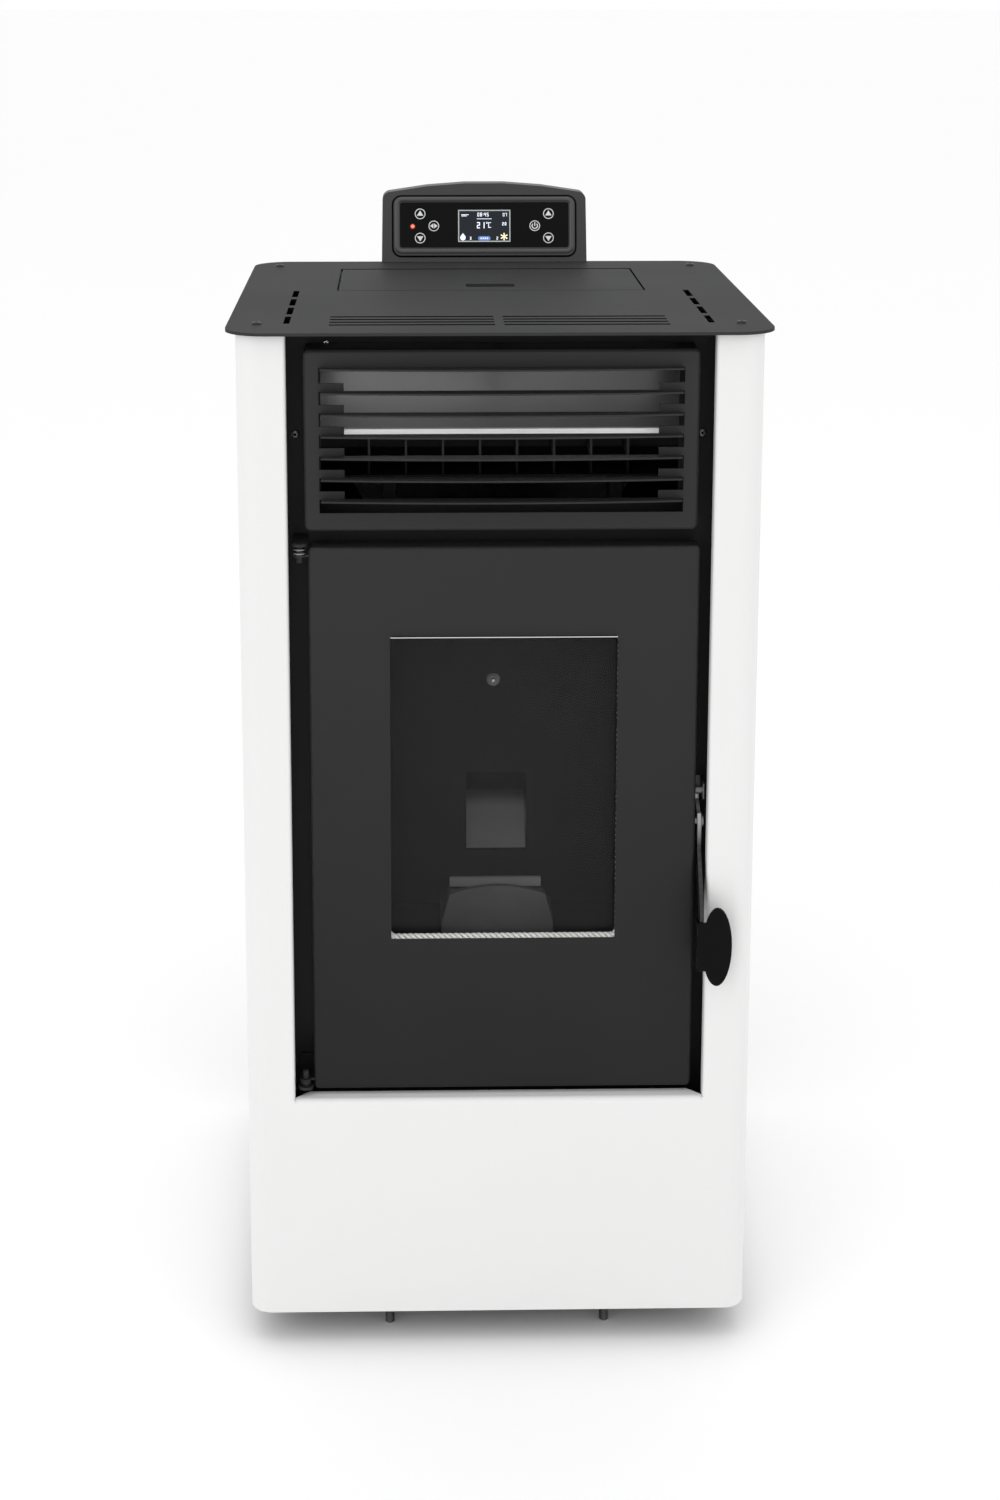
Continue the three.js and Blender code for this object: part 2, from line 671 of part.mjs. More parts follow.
// ---------------------------------------------------------------- warm-air outlet
// A louvre tongue: straight at its root, bowed at its front edge.
function louvre(z) {
  const x0 = louvreLeft + LOUVRE_SLIT;
  const x1 = louvreRight - LOUVRE_SLIT;
  const root = GRILLE_FACE + GRILLE_SHEET - 0.2;
  const bow = new THREE.Shape();
  bow.moveTo(x0, root);
  bow.lineTo(x0, GRILLE_FACE - LOUVRE_REACH_END);
  const pull = GRILLE_FACE - 2 * LOUVRE_REACH_MID + LOUVRE_REACH_END;
  bow.quadraticCurveTo((x0 + x1) / 2, pull, x1, GRILLE_FACE - LOUVRE_REACH_END);
  bow.lineTo(x1, root);
  return levelSheet(bow, [z - LOUVRE_SHEET, z], 12);
}

function outletGrille() {
  const depth = FRAME_SETBACK - GAP - GRILLE_FACE;
  const wide = [grilleLeft, grilleRight];
  const tall = [GRILLE_BOTTOM, GRILLE_BOTTOM + GRILLE_HEIGHT];
  const shell = cut(roundedFace(wide, tall, GRILLE_FACE, depth, GRILLE_RIM),
    block(grown(wide, -GRILLE_SHEET), [GRILLE_FACE + GRILLE_SHEET, FRAME_SETBACK],
      grown(tall, -GRILLE_SHEET)),
    block([louvreLeft, louvreRight], [GRILLE_FACE - 1, FRAME_SETBACK], [LOUVRE_BOTTOM, louvreTop]));
  const pieces = [louvre(louvreTop + 0.4)];
  for (let row = 0; row < LOUVRE_ROWS; row += 1) {
    const middle = louvreTop - LOUVRE_PITCH * (row + 0.9);
    const tab = around(middle, LOUVRE_TAB_HEIGHT / 2);
    const thick = [GRILLE_FACE, GRILLE_FACE + GRILLE_SHEET];
    pieces.push(block([louvreLeft - 1, louvreLeft + LOUVRE_TAB_WIDTH], thick, tab));
    pieces.push(block([louvreRight - LOUVRE_TAB_WIDTH, louvreRight + 1], thick, tab));
    pieces.push(louvre(tab[0] + 0.4));
  }
  return join(shell, ...pieces);
}

// A slab whose front edges are rounded over, its face at y.
function roundedFace(wide, tall, y, depth, radius) {
  const shape = rectangle(grown(wide, -radius), grown(tall, -radius), 1);
  const slab = new THREE.ExtrudeGeometry(shape, {
    depth, bevelEnabled: true, bevelThickness: radius, bevelSize: radius, bevelSegments: 3, curveSegments: 1,
  });
  const whole = placed(slab, AXIS_X, AXIS_Z, new THREE.Vector3(0, y + radius + depth, 0));
  const far = y + depth + 2 * radius + 1;
  return cut(whole, block(grown(wide, 1), [y + depth, far], grown(tall, 1)));
}

// A bright sheet over the air outlet that slopes back and up from a turned-down lip.
function airDeflector() {
  const front = frameBack + GAP;
  const lipTop = DEFLECTOR_LIP + DEFLECTOR_LIP_HEIGHT;
  const back = front + DEFLECTOR_REACH;
  const top = lipTop + DEFLECTOR_RISE;
  const profile = polygon([[front, DEFLECTOR_LIP], [front + SHEET, DEFLECTOR_LIP],
    [front + SHEET, lipTop - SHEET], [back, top - SHEET], [back + 14, top - SHEET], [back + 14, top],
    [back, top], [front, lipTop]]);
  const half = LOUVRE_WIDTH / 2 + 14;
  const cheek = polygon([[front + 1, DEFLECTOR_LIP + 1], [back - 1, DEFLECTOR_LIP + 1], [back - 1, top - 2],
    [front + 1, lipTop - 1]]);
  const across = around(GRILLE_CENTRE, half);
  return join(sideSheet(profile, across), sideSheet(cheek, [across[0], across[0] + SHEET]),
    sideSheet(cheek, [across[1] - SHEET, across[1]]));
}

// The exchanger's outlet: a floor, a back and upright fins between the air ways.
function exchangerOutlet() {
  const front = frameBack + GAP;
  const half = LOUVRE_WIDTH / 2 + 14;
  const top = DEFLECTOR_LIP - GAP;
  const across = around(GRILLE_CENTRE, half);
  const span = [front, front + COMB_DEPTH];
  const pieces = [block(across, span, [COMB_BOTTOM, COMB_BOTTOM + SHEET]),
    block([across[0], across[0] + SHEET], span, [COMB_BOTTOM, top]),
    block([across[1] - SHEET, across[1]], span, [COMB_BOTTOM, top]),
    block(across, [span[1] - SHEET, span[1]], [COMB_BOTTOM, top])];
  for (let n = 0; n < COMB_COUNT; n += 1) {
    const x = (n - (COMB_COUNT - 1) / 2) * COMB_PITCH;
    pieces.push(block(around(x, SHEET / 2), [front + 4, span[1] - 1], [COMB_BOTTOM + 1, top]));
  }
  const legs = [fireTop + GAP, COMB_BOTTOM + 1];
  pieces.push(block(around(fireLeft + 20, 6), [front + 5, front + 40], legs));
  pieces.push(block(around(fireRight - 20, 6), [front + 5, front + 40], legs));
  return join(...pieces);
}

// ---------------------------------------------------------------- firebox and what stands in it
const chuteX = around(AUGER_X, CHUTE_WIDTH / 2);
const igniterX = FIRE_CENTRE;
const igniterZ = SHELF_HEIGHT + 11;
const igniterRadius = 5;

function firebox() {
  const outerX = grown([fireLeft, fireRight], FIRE_WALL);
  const wallZ = [FIRE_FLOOR, fireTop];
  const body = block(outerX, [fireFront, fireRear + FIRE_WALL], wallZ);
  const inside = block([fireLeft, fireRight], [fireFront - 1, fireRear], grown(wallZ, -FIRE_WALL));
  const flange = frontSheet(frameShape(grown(outerX, FIRE_FLANGE), grown(wallZ, FIRE_FLANGE),
    [fireLeft, fireRight], grown(wallZ, -FIRE_WALL)), [fireFront, fireFront + FIRE_WALL]);
  const ledges = [[fireLeft - 1, fireLeft + LEDGE], [fireRight - LEDGE, fireRight + 1]].map((x) => (
    block(x, [fireFront + 8, fireRear + 1], [SHELF_HEIGHT - SHELF_THICK - GAP - 3,
      SHELF_HEIGHT - SHELF_THICK - GAP])));
  const through = [fireRear - 1, fireRear + FIRE_WALL + 1];
  const hollowed = cut(body, inside, block(chuteX, through, [CHUTE_SILL, CHUTE_SILL + CHUTE_HEIGHT]),
    rod("y", igniterRadius + GAP, through, [igniterX, igniterZ], 12),
    rod("y", INTAKE_RADIUS - 3, through, [INTAKE_X, INTAKE_Z], 16),
    rod("y", BOLT_SHANK + GAP, through, [BOLT_X, BOLT_HEIGHT], 12));
  return join(hollowed, flange, ...ledges);
}

function firebackPlate() {
  const span = [fireRear - GAP - FIREBACK_THICK, fireRear - GAP];
  const plate = block(grown([fireLeft, fireRight], -GAP - 1), span, [SHELF_HEIGHT + GAP, FIREBACK_TOP]);
  const through = grown(span, 1);
  return cut(plate, block(chuteX, through, [CHUTE_SILL, CHUTE_SILL + CHUTE_HEIGHT]),
    rod("y", igniterRadius + GAP, through, [igniterX, igniterZ], 12),
    rod("y", BOLT_SHANK + GAP, through, [BOLT_X, BOLT_HEIGHT], 12));
}

function firebackBolt() {
  const plateFace = fireRear - GAP - FIREBACK_THICK;
  const head = rod("y", BOLT_HEAD, [plateFace - GAP - 4, plateFace - GAP], [BOLT_X, BOLT_HEIGHT], 18);
  const shank = rod("y", BOLT_SHANK, [plateFace - GAP - 1, fireRear + FIRE_WALL + 5],
    [BOLT_X, BOLT_HEIGHT], 12);
  return join(head, shank);
}

const bowlX = around(POT_CENTRE, POT_TOP_WIDTH / 2 - BOWL_INSET);
const bowlY = grown([POT_FRONT, POT_FRONT + POT_DEPTH], -BOWL_INSET + 3);

function potShelf() {
  const span = [fireFront + 6, fireRear - GAP - FIREBACK_THICK - GAP];
  const shelf = block(grown([fireLeft, fireRight], -GAP), span,
    [SHELF_HEIGHT - SHELF_THICK, SHELF_HEIGHT]);
  return cut(shelf, block(grown(bowlX, 1), grown(bowlY, 1), around(SHELF_HEIGHT, 10)));
}

// A cast pot: a wide foot, tapering walls, a front that rises in a low arch, and a perforated bowl.
function burnPot() {
  const seat = SHELF_HEIGHT + GAP;
  const back = POT_FRONT + POT_DEPTH;
  const wide = around(POT_CENTRE, POT_BASE_WIDTH / 2);
  const narrow = around(POT_CENTRE, POT_TOP_WIDTH / 2);
  const foot = block(wide, [POT_FRONT, back], [seat, seat + POT_FLANGE]);
  const body = tapered([wide, [POT_FRONT, back]], [narrow, [POT_FRONT, back]],
    [seat + POT_FLANGE - 1, POT_REAR_TOP]);
  const arch = new THREE.Shape();
  arch.moveTo(wide[0], seat + POT_FLANGE - 1);
  arch.lineTo(wide[1], seat + POT_FLANGE - 1);
  arch.lineTo(narrow[1], POT_FRONT_TOP);
  arch.quadraticCurveTo(POT_CENTRE, POT_FRONT_TOP + 2 * POT_ARCH, narrow[0], POT_FRONT_TOP);
  const front = frontSheet(arch, [POT_FRONT, POT_FRONT + POT_WALL], 8);
  const bowl = block(bowlX, bowlY, [SHELF_HEIGHT - BOWL_DEPTH, seat + 1]);
  const hollow = block(grown(bowlX, -3), grown(bowlY, -3), [SHELF_HEIGHT - BOWL_DEPTH + 4, POT_REAR_TOP + 40]);
  const holes = [];
  for (let i = 0; i < 4; i += 1) {
    for (let j = 0; j < 2; j += 1) {
      const place = [POT_CENTRE + (i - 1.5) * 15, (bowlY[0] + bowlY[1]) / 2 + (j - 0.5) * 20];
      holes.push(rod("z", 3, [SHELF_HEIGHT - BOWL_DEPTH - 1, SHELF_HEIGHT], place, 8));
    }
  }
  const chamber = block(grown(narrow, -POT_WALL), [POT_FRONT + POT_WALL, back - POT_WALL],
    [seat + POT_FLANGE / 2, POT_REAR_TOP + 40]);
  return cut(join(foot, body, front, bowl), hollow, chamber, ...holes);
}

function ashPan() {
  const x = around(FIRE_CENTRE, ASH_WIDTH / 2);
  const y = [ASH_FRONT, ASH_FRONT + ASH_DEPTH];
  const z = [FIRE_FLOOR + FIRE_WALL + GAP, FIRE_FLOOR + FIRE_WALL + GAP + ASH_HEIGHT];
  const pan = cut(block(x, y, z), block(grown(x, -ASH_WALL), grown(y, -ASH_WALL), [z[0] + ASH_WALL, z[1] + 1]));
  const pull = block(around(FIRE_CENTRE, 35), [ASH_FRONT - 9, ASH_FRONT + 1], [z[1] - 20, z[1] - 18]);
  return join(pan, pull);
}

// ---------------------------------------------------------------- fuel feed
// The chute in section: in at the top, forward and down a slope into the firebox.
function pelletChute() {
  const wall = SHEET;
  const near = fireRear + FIRE_WALL + GAP;
  const slope = CHUTE_FAR - near;
  const top = CHUTE_SILL + CHUTE_HEIGHT;
  const way = polygon([[near - 1, CHUTE_SILL], [near, CHUTE_SILL], [CHUTE_FAR, CHUTE_SILL + slope],
    [CHUTE_FAR, CHUTE_MOUTH + 1], [CHUTE_NEAR, CHUTE_MOUTH + 1], [CHUTE_NEAR, top + 10], [near, top],
    [near - 1, top]]);
  const skin = polygon([[near, CHUTE_SILL - 3], [CHUTE_FAR + wall, CHUTE_SILL + slope - 1],
    [CHUTE_FAR + wall, CHUTE_MOUTH], [CHUTE_NEAR - wall, CHUTE_MOUTH], [CHUTE_NEAR - wall, top + 13],
    [near, top + 4]]);
  const collar = block(grown(chuteX, 12), [near, near + wall], [CHUTE_SILL - 12, top + 12]);
  return cut(join(sideSheet(skin, grown(chuteX, wall)), collar), sideSheet(way, chuteX));
}

// The auger's pieces are drawn along their own z, then laid on the slope down from the top end.
function onAuger(geometry) {
  const across = new THREE.Vector3().crossVectors(augerDown, AXIS_X);
  return placed(geometry, AXIS_X, across.negate(), augerTop);
}

function augerTube() {
  const inner = AUGER_OUTER - AUGER_WALL;
  const length = augerLength;
  const pipe = onAuger(rod("z", AUGER_OUTER, [-length, 0], [0, 0], 24));
  const bore = onAuger(rod("z", inner, [-length - 1, -AUGER_WALL], [0, 0], 24));
  const outX = around(AUGER_X, FEED_HALF + SHEET);
  const outlet = block(outX, [CHUTE_NEAR, CHUTE_FAR], [CHUTE_MOUTH + GAP, augerHeight]);
  const outletWay = block(around(AUGER_X, FEED_HALF - 4), grown([CHUTE_NEAR, CHUTE_FAR], -8),
    [CHUTE_MOUTH, augerHeight]);
  const feedZ = augerHeight - (feedY - chuteY);
  const feed = block(outX, grown([feedNear, feedFar], SHEET), [feedZ, feedHeight]);
  const feedWay = block(around(AUGER_X, FEED_HALF - 4), grown([feedNear, feedFar], -4),
    [feedZ, feedHeight + 1]);
  const seat = block(grown(chuteX, 6), grown([CHUTE_NEAR, CHUTE_FAR], 6),
    [CHUTE_MOUTH + GAP, CHUTE_MOUTH + GAP + SHEET]);
  return cut(join(pipe, outlet, seat, feed), bore, outletWay, feedWay);
}

// A single flight: a thin strip wound round the shaft.
function flight(radius, length) {
  const steps = Math.round(length / 4.5);
  const root = AUGER_SHAFT - 3;
  const strip = new THREE.BoxGeometry(radius - root, FLIGHT_THICK, length, 1, 1, steps)
    .translate((radius + root) / 2, 0, 0);
  const points = strip.attributes.position;
  for (let i = 0; i < points.count; i += 1) {
    const angle = 2 * Math.PI * points.getZ(i) / AUGER_PITCH;
    const x = points.getX(i) * Math.cos(angle) - points.getY(i) * Math.sin(angle);
    const y = points.getX(i) * Math.sin(angle) + points.getY(i) * Math.cos(angle);
    points.setXYZ(i, x, y, points.getZ(i));
  }
  return strip;
}

function augerScrew() {
  const radius = AUGER_OUTER - AUGER_WALL - AUGER_CLEARANCE;
  const length = augerLength - AUGER_WALL - 2 * AUGER_CLEARANCE;
  const wound = flight(radius, length - 6).translate(0, 0, -augerLength / 2 - 2);
  const shaft = rod("z", AUGER_SHAFT, [-AUGER_WALL - length, -AUGER_WALL - AUGER_CLEARANCE], [0, 0], 14);
  return onAuger(join(shaft, wound));
}

function augerMotor() {
  const start = -augerLength - GAP;
  const box = rod("z", GEARBOX_RADIUS, [start - GEARBOX_LENGTH, start], [0, 0], 20);
  const end = start - GEARBOX_LENGTH;
  const can = rod("z", GEAR_MOTOR_RADIUS, [end - GEAR_MOTOR_LENGTH, end + 1], [0, 0], 20);
  return onAuger(join(box, can));
}

function hopper() {
  const wall = HOPPER_WALL;
  const top = [hopperX, hopperY];
  const bottom = [around(AUGER_X, FEED_HALF), [feedNear, feedFar]];
  const foot = feedHeight + GAP;
  const outer = join(block(hopperX, hopperY, [shoulderZ - 0.5, hopperTop]),
    tapered(bottom.map((span) => grown(span, wall)), top, [foot, shoulderZ]));
  const inner = join(
    block(grown(hopperX, -wall), grown(hopperY, -wall), [shoulderZ - 0.5, hopperTop + 1]),
    tapered(bottom, top.map((span) => grown(span, -wall)), [foot, shoulderZ]),
    block(...bottom, [foot - 1, foot + 1]));
  const rim = levelSheet(frameShape(grown(hopperX, HOPPER_RIM), grown(hopperY, HOPPER_RIM),
    grown(hopperX, -wall), grown(hopperY, -wall)), [hopperTop - wall, hopperTop]);
  const rest = hopperTop - GUARD_DROP - 8;
  const ledge = (x) => block(x, grown([hopperY[0], hopperY[1]], -20), [rest, rest + 3]);
  return join(cut(outer, inner), rim, ledge([hopperX[0] + 1, hopperX[0] + wall + 9]),
    ledge([hopperX[1] - wall - 9, hopperX[1] - 1]));
}

function hopperGuard() {
  const z = hopperTop - GUARD_DROP - 5 + GAP;
  const x = grown(hopperX, -HOPPER_WALL - 1);
  const y = grown(hopperY, -24);
  const bars = [];
  const bar = 2;
  for (let n = 0; n < GUARD_CROSS_BARS; n += 1) {
    const at = y[0] + bar + n * (y[1] - y[0] - 2 * bar) / (GUARD_CROSS_BARS - 1);
    bars.push(block(x, around(at, bar), [z, z + 3]));
  }
  for (let n = 0; n < GUARD_LONG_BARS; n += 1) {
    const at = x[0] + bar + n * (x[1] - x[0] - 2 * bar) / (GUARD_LONG_BARS - 1);
    bars.push(block(around(at, bar), y, [z + 0.5, z + 3.5]));
  }
  return join(...bars);
}

function lidHinge(side) {
  const x = side * LID_HINGE_X;
  const lug = side > 0 ? [x, x + 3] : [x - 3, x];
  const back = hopperY[1] - HOPPER_WALL - GAP;
  const base = lidAxisZ - 30;
  const boss = rod("x", 4.5, lug, [lidAxisY, lidAxisZ], 14);
  const neck = block(lug, around(lidAxisY, 4.5), [base + 12, lidAxisZ]);
  const arm = block(lug, [lidAxisY - 4.5, back], [base + 12, lidAxisZ - 6]);
  const foot = block(around(x, 13), [back - SHEET, back], [base, lidAxisZ - 6]);
  const pin = rod("x", LID_PIN, side > 0 ? [x + 1, x + 9] : [x - 9, x - 1], [lidAxisY, lidAxisZ], 12);
  return join(boss, neck, arm, foot, pin);
}

function hopperLid() {
  const x = around(0, lidHalf);
  const under = PLATE_TOP - LID_SHEET;
  const sheet = block(x, [LID_FRONT, lidBack], [under, PLATE_TOP]);
  const folds = [block(x, [LID_FRONT, LID_FRONT + LID_SHEET], [under - LID_FOLD, under + 1])];
  const ears = [];
  const holes = [];
  for (const side of [-1, 1]) {
    const edge = side * lidHalf;
    const fold = side > 0 ? [edge - LID_SHEET, edge] : [edge, edge + LID_SHEET];
    folds.push(block(fold, [LID_FRONT, lidBack - 8], [under - LID_FOLD, under + 1]));
    const start = LID_HINGE_X + 4;
    const ear = side > 0 ? [start, start + 3] : [-start - 3, -start];
    ears.push(block(ear, around(lidAxisY, 2 + LID_PIN), [lidAxisZ - 2 - LID_PIN, under + 1]));
    holes.push(rod("x", LID_PIN + GAP, grown(ear, 1), [lidAxisY, lidAxisZ], 12));
  }
  const cupX = around(GRILLE_CENTRE - 1, CUP_WIDTH / 2);
  const cupY = [LID_FRONT + CUP_FROM_EDGE, LID_FRONT + CUP_FROM_EDGE + CUP_LENGTH];
  const cup = block(grown(cupX, LID_SHEET), grown(cupY, LID_SHEET), [PLATE_TOP - CUP_DEEP - LID_SHEET, PLATE_TOP - 1]);
  const scoop = levelSheet(rectangle(cupX, cupY, 5), [PLATE_TOP - CUP_DEEP, PLATE_TOP + 1], 2);
  return cut(join(sheet, cup, ...folds, ...ears), scoop, ...holes);
}

// ---------------------------------------------------------------- exhaust, air intake and igniter
function smokeBox() {
  const z = [panFloor + GAP, FIRE_FLOOR - GAP];
  const x = around(FIRE_CENTRE, SMOKE_HALF);
  const sideX = [EXHAUST_X - GAP - SMOKE_SIDE_WIDTH, EXHAUST_X - GAP];
  const sideZ = around(EXHAUST_Z, SMOKE_SIDE_HALF);
  const outer = join(block(x, [SMOKE_FRONT, smokeBack], z),
    block(sideX, [smokeBack - 1, smokeSideBack], sideZ));
  const inner = join(block(grown(x, -SHEET), [SMOKE_FRONT + SHEET, smokeBack - SHEET], grown(z, -SHEET)),
    block(grown(sideX, -SHEET), [smokeBack - SHEET - 1, smokeSideBack - SHEET], grown(sideZ, -SHEET)));
  const port = rod("x", SMOKE_PORT, [EXHAUST_X - 6, EXHAUST_X + 1], [exhaustY, EXHAUST_Z], 20);
  return cut(outer, inner, port);
}

// The scroll in section, with its outlet leaving the top at the back.
function scroll(radius, inset) {
  const round = rod("x", radius, [EXHAUST_X + inset, EXHAUST_X + EXHAUST_WIDE - inset],
    [exhaustY, EXHAUST_Z], 28);
  const top = EXHAUST_Z + radius;
  const way = block([EXHAUST_X + inset, EXHAUST_X + EXHAUST_WIDE - inset],
    [exhaustY, spigotStart - GAP - 2 + 3 * inset], [EXHAUST_Z + 5 + inset, top]);
  return join(round, way);
}

function exhaustHousing() {
  const flangeY = [spigotStart - GAP - 3, spigotStart - GAP];
  const flange = block(around(exhaustMid, SPIGOT_RADIUS + 4), flangeY, around(spigotZ, SPIGOT_RADIUS + 4));
  const right = EXHAUST_X + EXHAUST_WIDE;
  return cut(join(scroll(EXHAUST_RADIUS, 0), flange), scroll(EXHAUST_RADIUS - SHEET, SHEET),
    rod("x", SMOKE_PORT, [EXHAUST_X - 1, EXHAUST_X + 3], [exhaustY, EXHAUST_Z], 20),
    rod("x", FAN_SHAFT + 1, [right - 3, right + 1], [exhaustY, EXHAUST_Z], 14));
}

// A fan wheel with radial blades and a back disc, its axis along X through [y, z].
function fanWheel([x0, x1], radius, blades, hub, [y, z]) {
  const pieces = [rod("x", radius, [x1 - 2, x1], [0, 0], 24), rod("x", hub, [(x0 + x1) / 2, x1 + 2], [0, 0], 16)];
  for (let n = 0; n < blades; n += 1) {
    const blade = block([x0, x1 - 1], [-1, 1], [hub - 2 + (radius - hub) * 0.35, radius - 1]);
    pieces.push(blade.rotateX(2 * Math.PI * n / blades));
  }
  const bore = rod("x", FAN_SHAFT + GAP, [x0 - 1, x1 + 3], [0, 0], 14);
  return cut(join(...pieces), bore).translate(0, y, z);
}

function exhaustMotor() {
  const start = EXHAUST_X + EXHAUST_WIDE + GAP;
  const can = rod("x", MOTOR_RADIUS, [start, start + MOTOR_LENGTH], [exhaustY, EXHAUST_Z], 24);
  const shaft = rod("x", FAN_SHAFT, [EXHAUST_X + 32, start + 1], [exhaustY, EXHAUST_Z], 14);
  return join(can, shaft);
}

function flueSpigot() {
  const pipe = rod("y", SPIGOT_RADIUS, [spigotStart, spigotEnd], [exhaustMid, spigotZ], 32);
  const bore = rod("y", SPIGOT_RADIUS - SPIGOT_WALL, [spigotStart - 1, spigotEnd + 1],
    [exhaustMid, spigotZ], 32);
  return cut(pipe, bore);
}

function airIntake() {
  const span = [fireRear + FIRE_WALL + GAP, intakeEnd];
  const pipe = rod("y", INTAKE_RADIUS, span, [INTAKE_X, INTAKE_Z], 24);
  return cut(pipe, rod("y", INTAKE_RADIUS - SHEET, grown(span, 1), [INTAKE_X, INTAKE_Z], 24));
}

function igniter() {
  const outside = fireRear + FIRE_WALL + GAP;
  const cartridge = rod("y", igniterRadius, [POT_FRONT + POT_DEPTH + 1, outside + 34],
    [igniterX, igniterZ], 12);
  const flange = block(around(igniterX, 16), [outside, outside + SHEET], around(igniterZ, 10));
  return join(cartridge, flange);
}

// ---------------------------------------------------------------- room-air blower
const blowerX = [BLOWER_LEFT, BLOWER_LEFT + BLOWER_WIDE];
const blowerBase = panFloor + GAP;
const blowerZ = blowerBase + BLOWER_HEIGHT / 2;

function blowerHousing() {
  const y = around(blowerY, BLOWER_HALF);
  const z = [blowerBase, blowerBase + BLOWER_HEIGHT];
  const within = grown(blowerX, -SHEET);
  const outlet = block(within, [y[0] + SHEET, blowerY - 14], [blowerZ, z[1] + 1]);
  return cut(block(blowerX, y, z), rod("x", DRUM_RADIUS + 11, within, [blowerY, blowerZ], 28), outlet,
    rod("x", 34, [blowerX[0] - 1, within[0] + 1], [blowerY, blowerZ], 20),
    rod("x", FAN_SHAFT + 1, [within[1] - 1, blowerX[1] + 1], [blowerY, blowerZ], 14));
}

function blowerMotor() {
  const start = blowerX[1] + GAP;
  const can = rod("x", 28, [start, start + BLOWER_MOTOR_LENGTH], [blowerY, blowerZ], 24);
  return join(can, rod("x", FAN_SHAFT, [blowerX[0] + 46, start + 1], [blowerY, blowerZ], 14));
}

// ---------------------------------------------------------------- electrics on the rear panel
function controlBoard() {
  const back = rearFace - GAP;
  const card = [back - BOARD_STANDOFF - 2, back - BOARD_STANDOFF];
  const x = around(BOARD_X, BOARD_HALF_WIDTH);
  const z = around(BOARD_Z, BOARD_HALF_HEIGHT);
  const pieces = [block(x, card, z)];
  for (const px of grown(x, -8)) {
    for (const pz of grown(z, -8)) {
      pieces.push(rod("y", 3.5, [card[1] - 1, back], [px, pz], 8));
    }
  }
  const front = (depth) => [card[0] - depth, card[0] + 0.5];
  pieces.push(block([x[0] + 12, x[0] + 46], front(24), [z[0] + 14, z[0] + 48]));
  pieces.push(block([x[1] - 40, x[1] - 12], front(16), [z[1] - 60, z[1] - 20]));
  pieces.push(rod("y", 9, front(22), [x[1] - 26, z[0] + 30], 14));
  return join(...pieces);
}

const flangeFace = rearFace + SHEET + GAP;
const rockerY = flangeFace + 1.5;
const rockerZ = INLET_Z + INLET_HALF_HEIGHT / 2 - 0.5;

function powerInlet() {
  const x = around(INLET_X, INLET_HALF_WIDTH);
  const z = around(INLET_Z, INLET_HALF_HEIGHT);
  const body = block(x, [rearFace - 20, flangeFace + 1], z);
  const flange = block(grown(x, 3), [flangeFace, flangeFace + 2.5], grown(z, 3));
  const socketZ = [z[0] + 5, z[0] + 20];
  const socket = block(grown(x, -3), [rearFace - 12, flangeFace + 3], socketZ);
  const well = block(around(INLET_X, 10), [rockerY - 9.5, flangeFace + 3], around(rockerZ, 8.5));
  const pins = [-7, 0, 7].map((dx) => (
    block(around(INLET_X + dx, 1), [rearFace - 13, flangeFace - 4], around(z[0] + 12 + (dx ? -1.5 : 2), 2))));
  return join(cut(join(body, flange), socket, well), ...pins);
}

function rockerSwitch() {
  const cap = block(around(INLET_X, 9.7), [rockerY - 4, rockerY + 4], around(rockerZ, ROCKER_HALF));
  const dished = rod("x", 26, [INLET_X - 12, INLET_X + 12], [rockerY + 29, rockerZ], 48);
  return cut(cap, dished);
}

// ---------------------------------------------------------------- fire door
function hingeEar(z) {
  const span = [z, z + EAR_THICK];
  return cut(join(rod("z", HINGE_EAR, span, [hingeX, HINGE_Y], 16),
    block([hingeX, doorLeft + 1], around(HINGE_Y + 2, HINGE_EAR - 2), span)),
  rod("z", HINGE_PIN + GAP, grown(span, 1), [hingeX, HINGE_Y], 14));
}

function doorPanel() {
  const wide = [doorLeft, doorRight];
  const tall = [DOOR_BOTTOM, doorTop];
  const slab = roundedFace(wide, tall, DOOR_FACE, DOOR_TRAY, DOOR_BEND);
  const tray = cut(slab, block(grown(wide, -SHEET), [DOOR_FACE + SHEET, doorBack - SHEET], grown(tall, -SHEET)),
    block(grown(wide, -DOOR_RETURN), [doorBack - SHEET - 1, doorBack + 1], grown(tall, -DOOR_RETURN)),
    block(windowX, [DOOR_FACE - 1, DOOR_FACE + SHEET + 1], windowZ));
  return join(tray, hingeEar(UPPER_EAR), hingeEar(LOWER_EAR));
}

function glassSeal() {
  return frontSheet(frameShape(grown(windowX, SEAL_WIDTH), grown(windowZ, SEAL_WIDTH), windowX, windowZ),
    [sealFront, sealFront + SEAL_THICK]);
}

function doorGlass() {
  return block(grown(windowX, GLASS_LAP), [glassFront, glassBack], grown(windowZ, GLASS_LAP));
}

function glassRetainer() {
  const edge = GLASS_LAP + 2;
  const flat = frontSheet(frameShape(grown(windowX, edge + SHEET), grown(windowZ, edge + SHEET),
    grown(windowX, 2), grown(windowZ, 2)), [glassBack + GAP, glassBack + GAP + SHEET]);
  const wall = frontSheet(frameShape(grown(windowX, edge + SHEET), grown(windowZ, edge + SHEET),
    grown(windowX, edge), grown(windowZ, edge)), [sealFront, glassBack + GAP + 1]);
  return join(flat, wall);
}

function doorSeal() {
  const x = grown([doorLeft, doorRight], -ROPE_INSET);
  const z = grown([DOOR_BOTTOM, doorTop], -ROPE_INSET);
  return frontSheet(frameShape(x, z, grown(x, -ROPE_WIDTH), grown(z, -ROPE_WIDTH)),
    [doorBack + GAP, FRAME_SETBACK - GAP]);
}

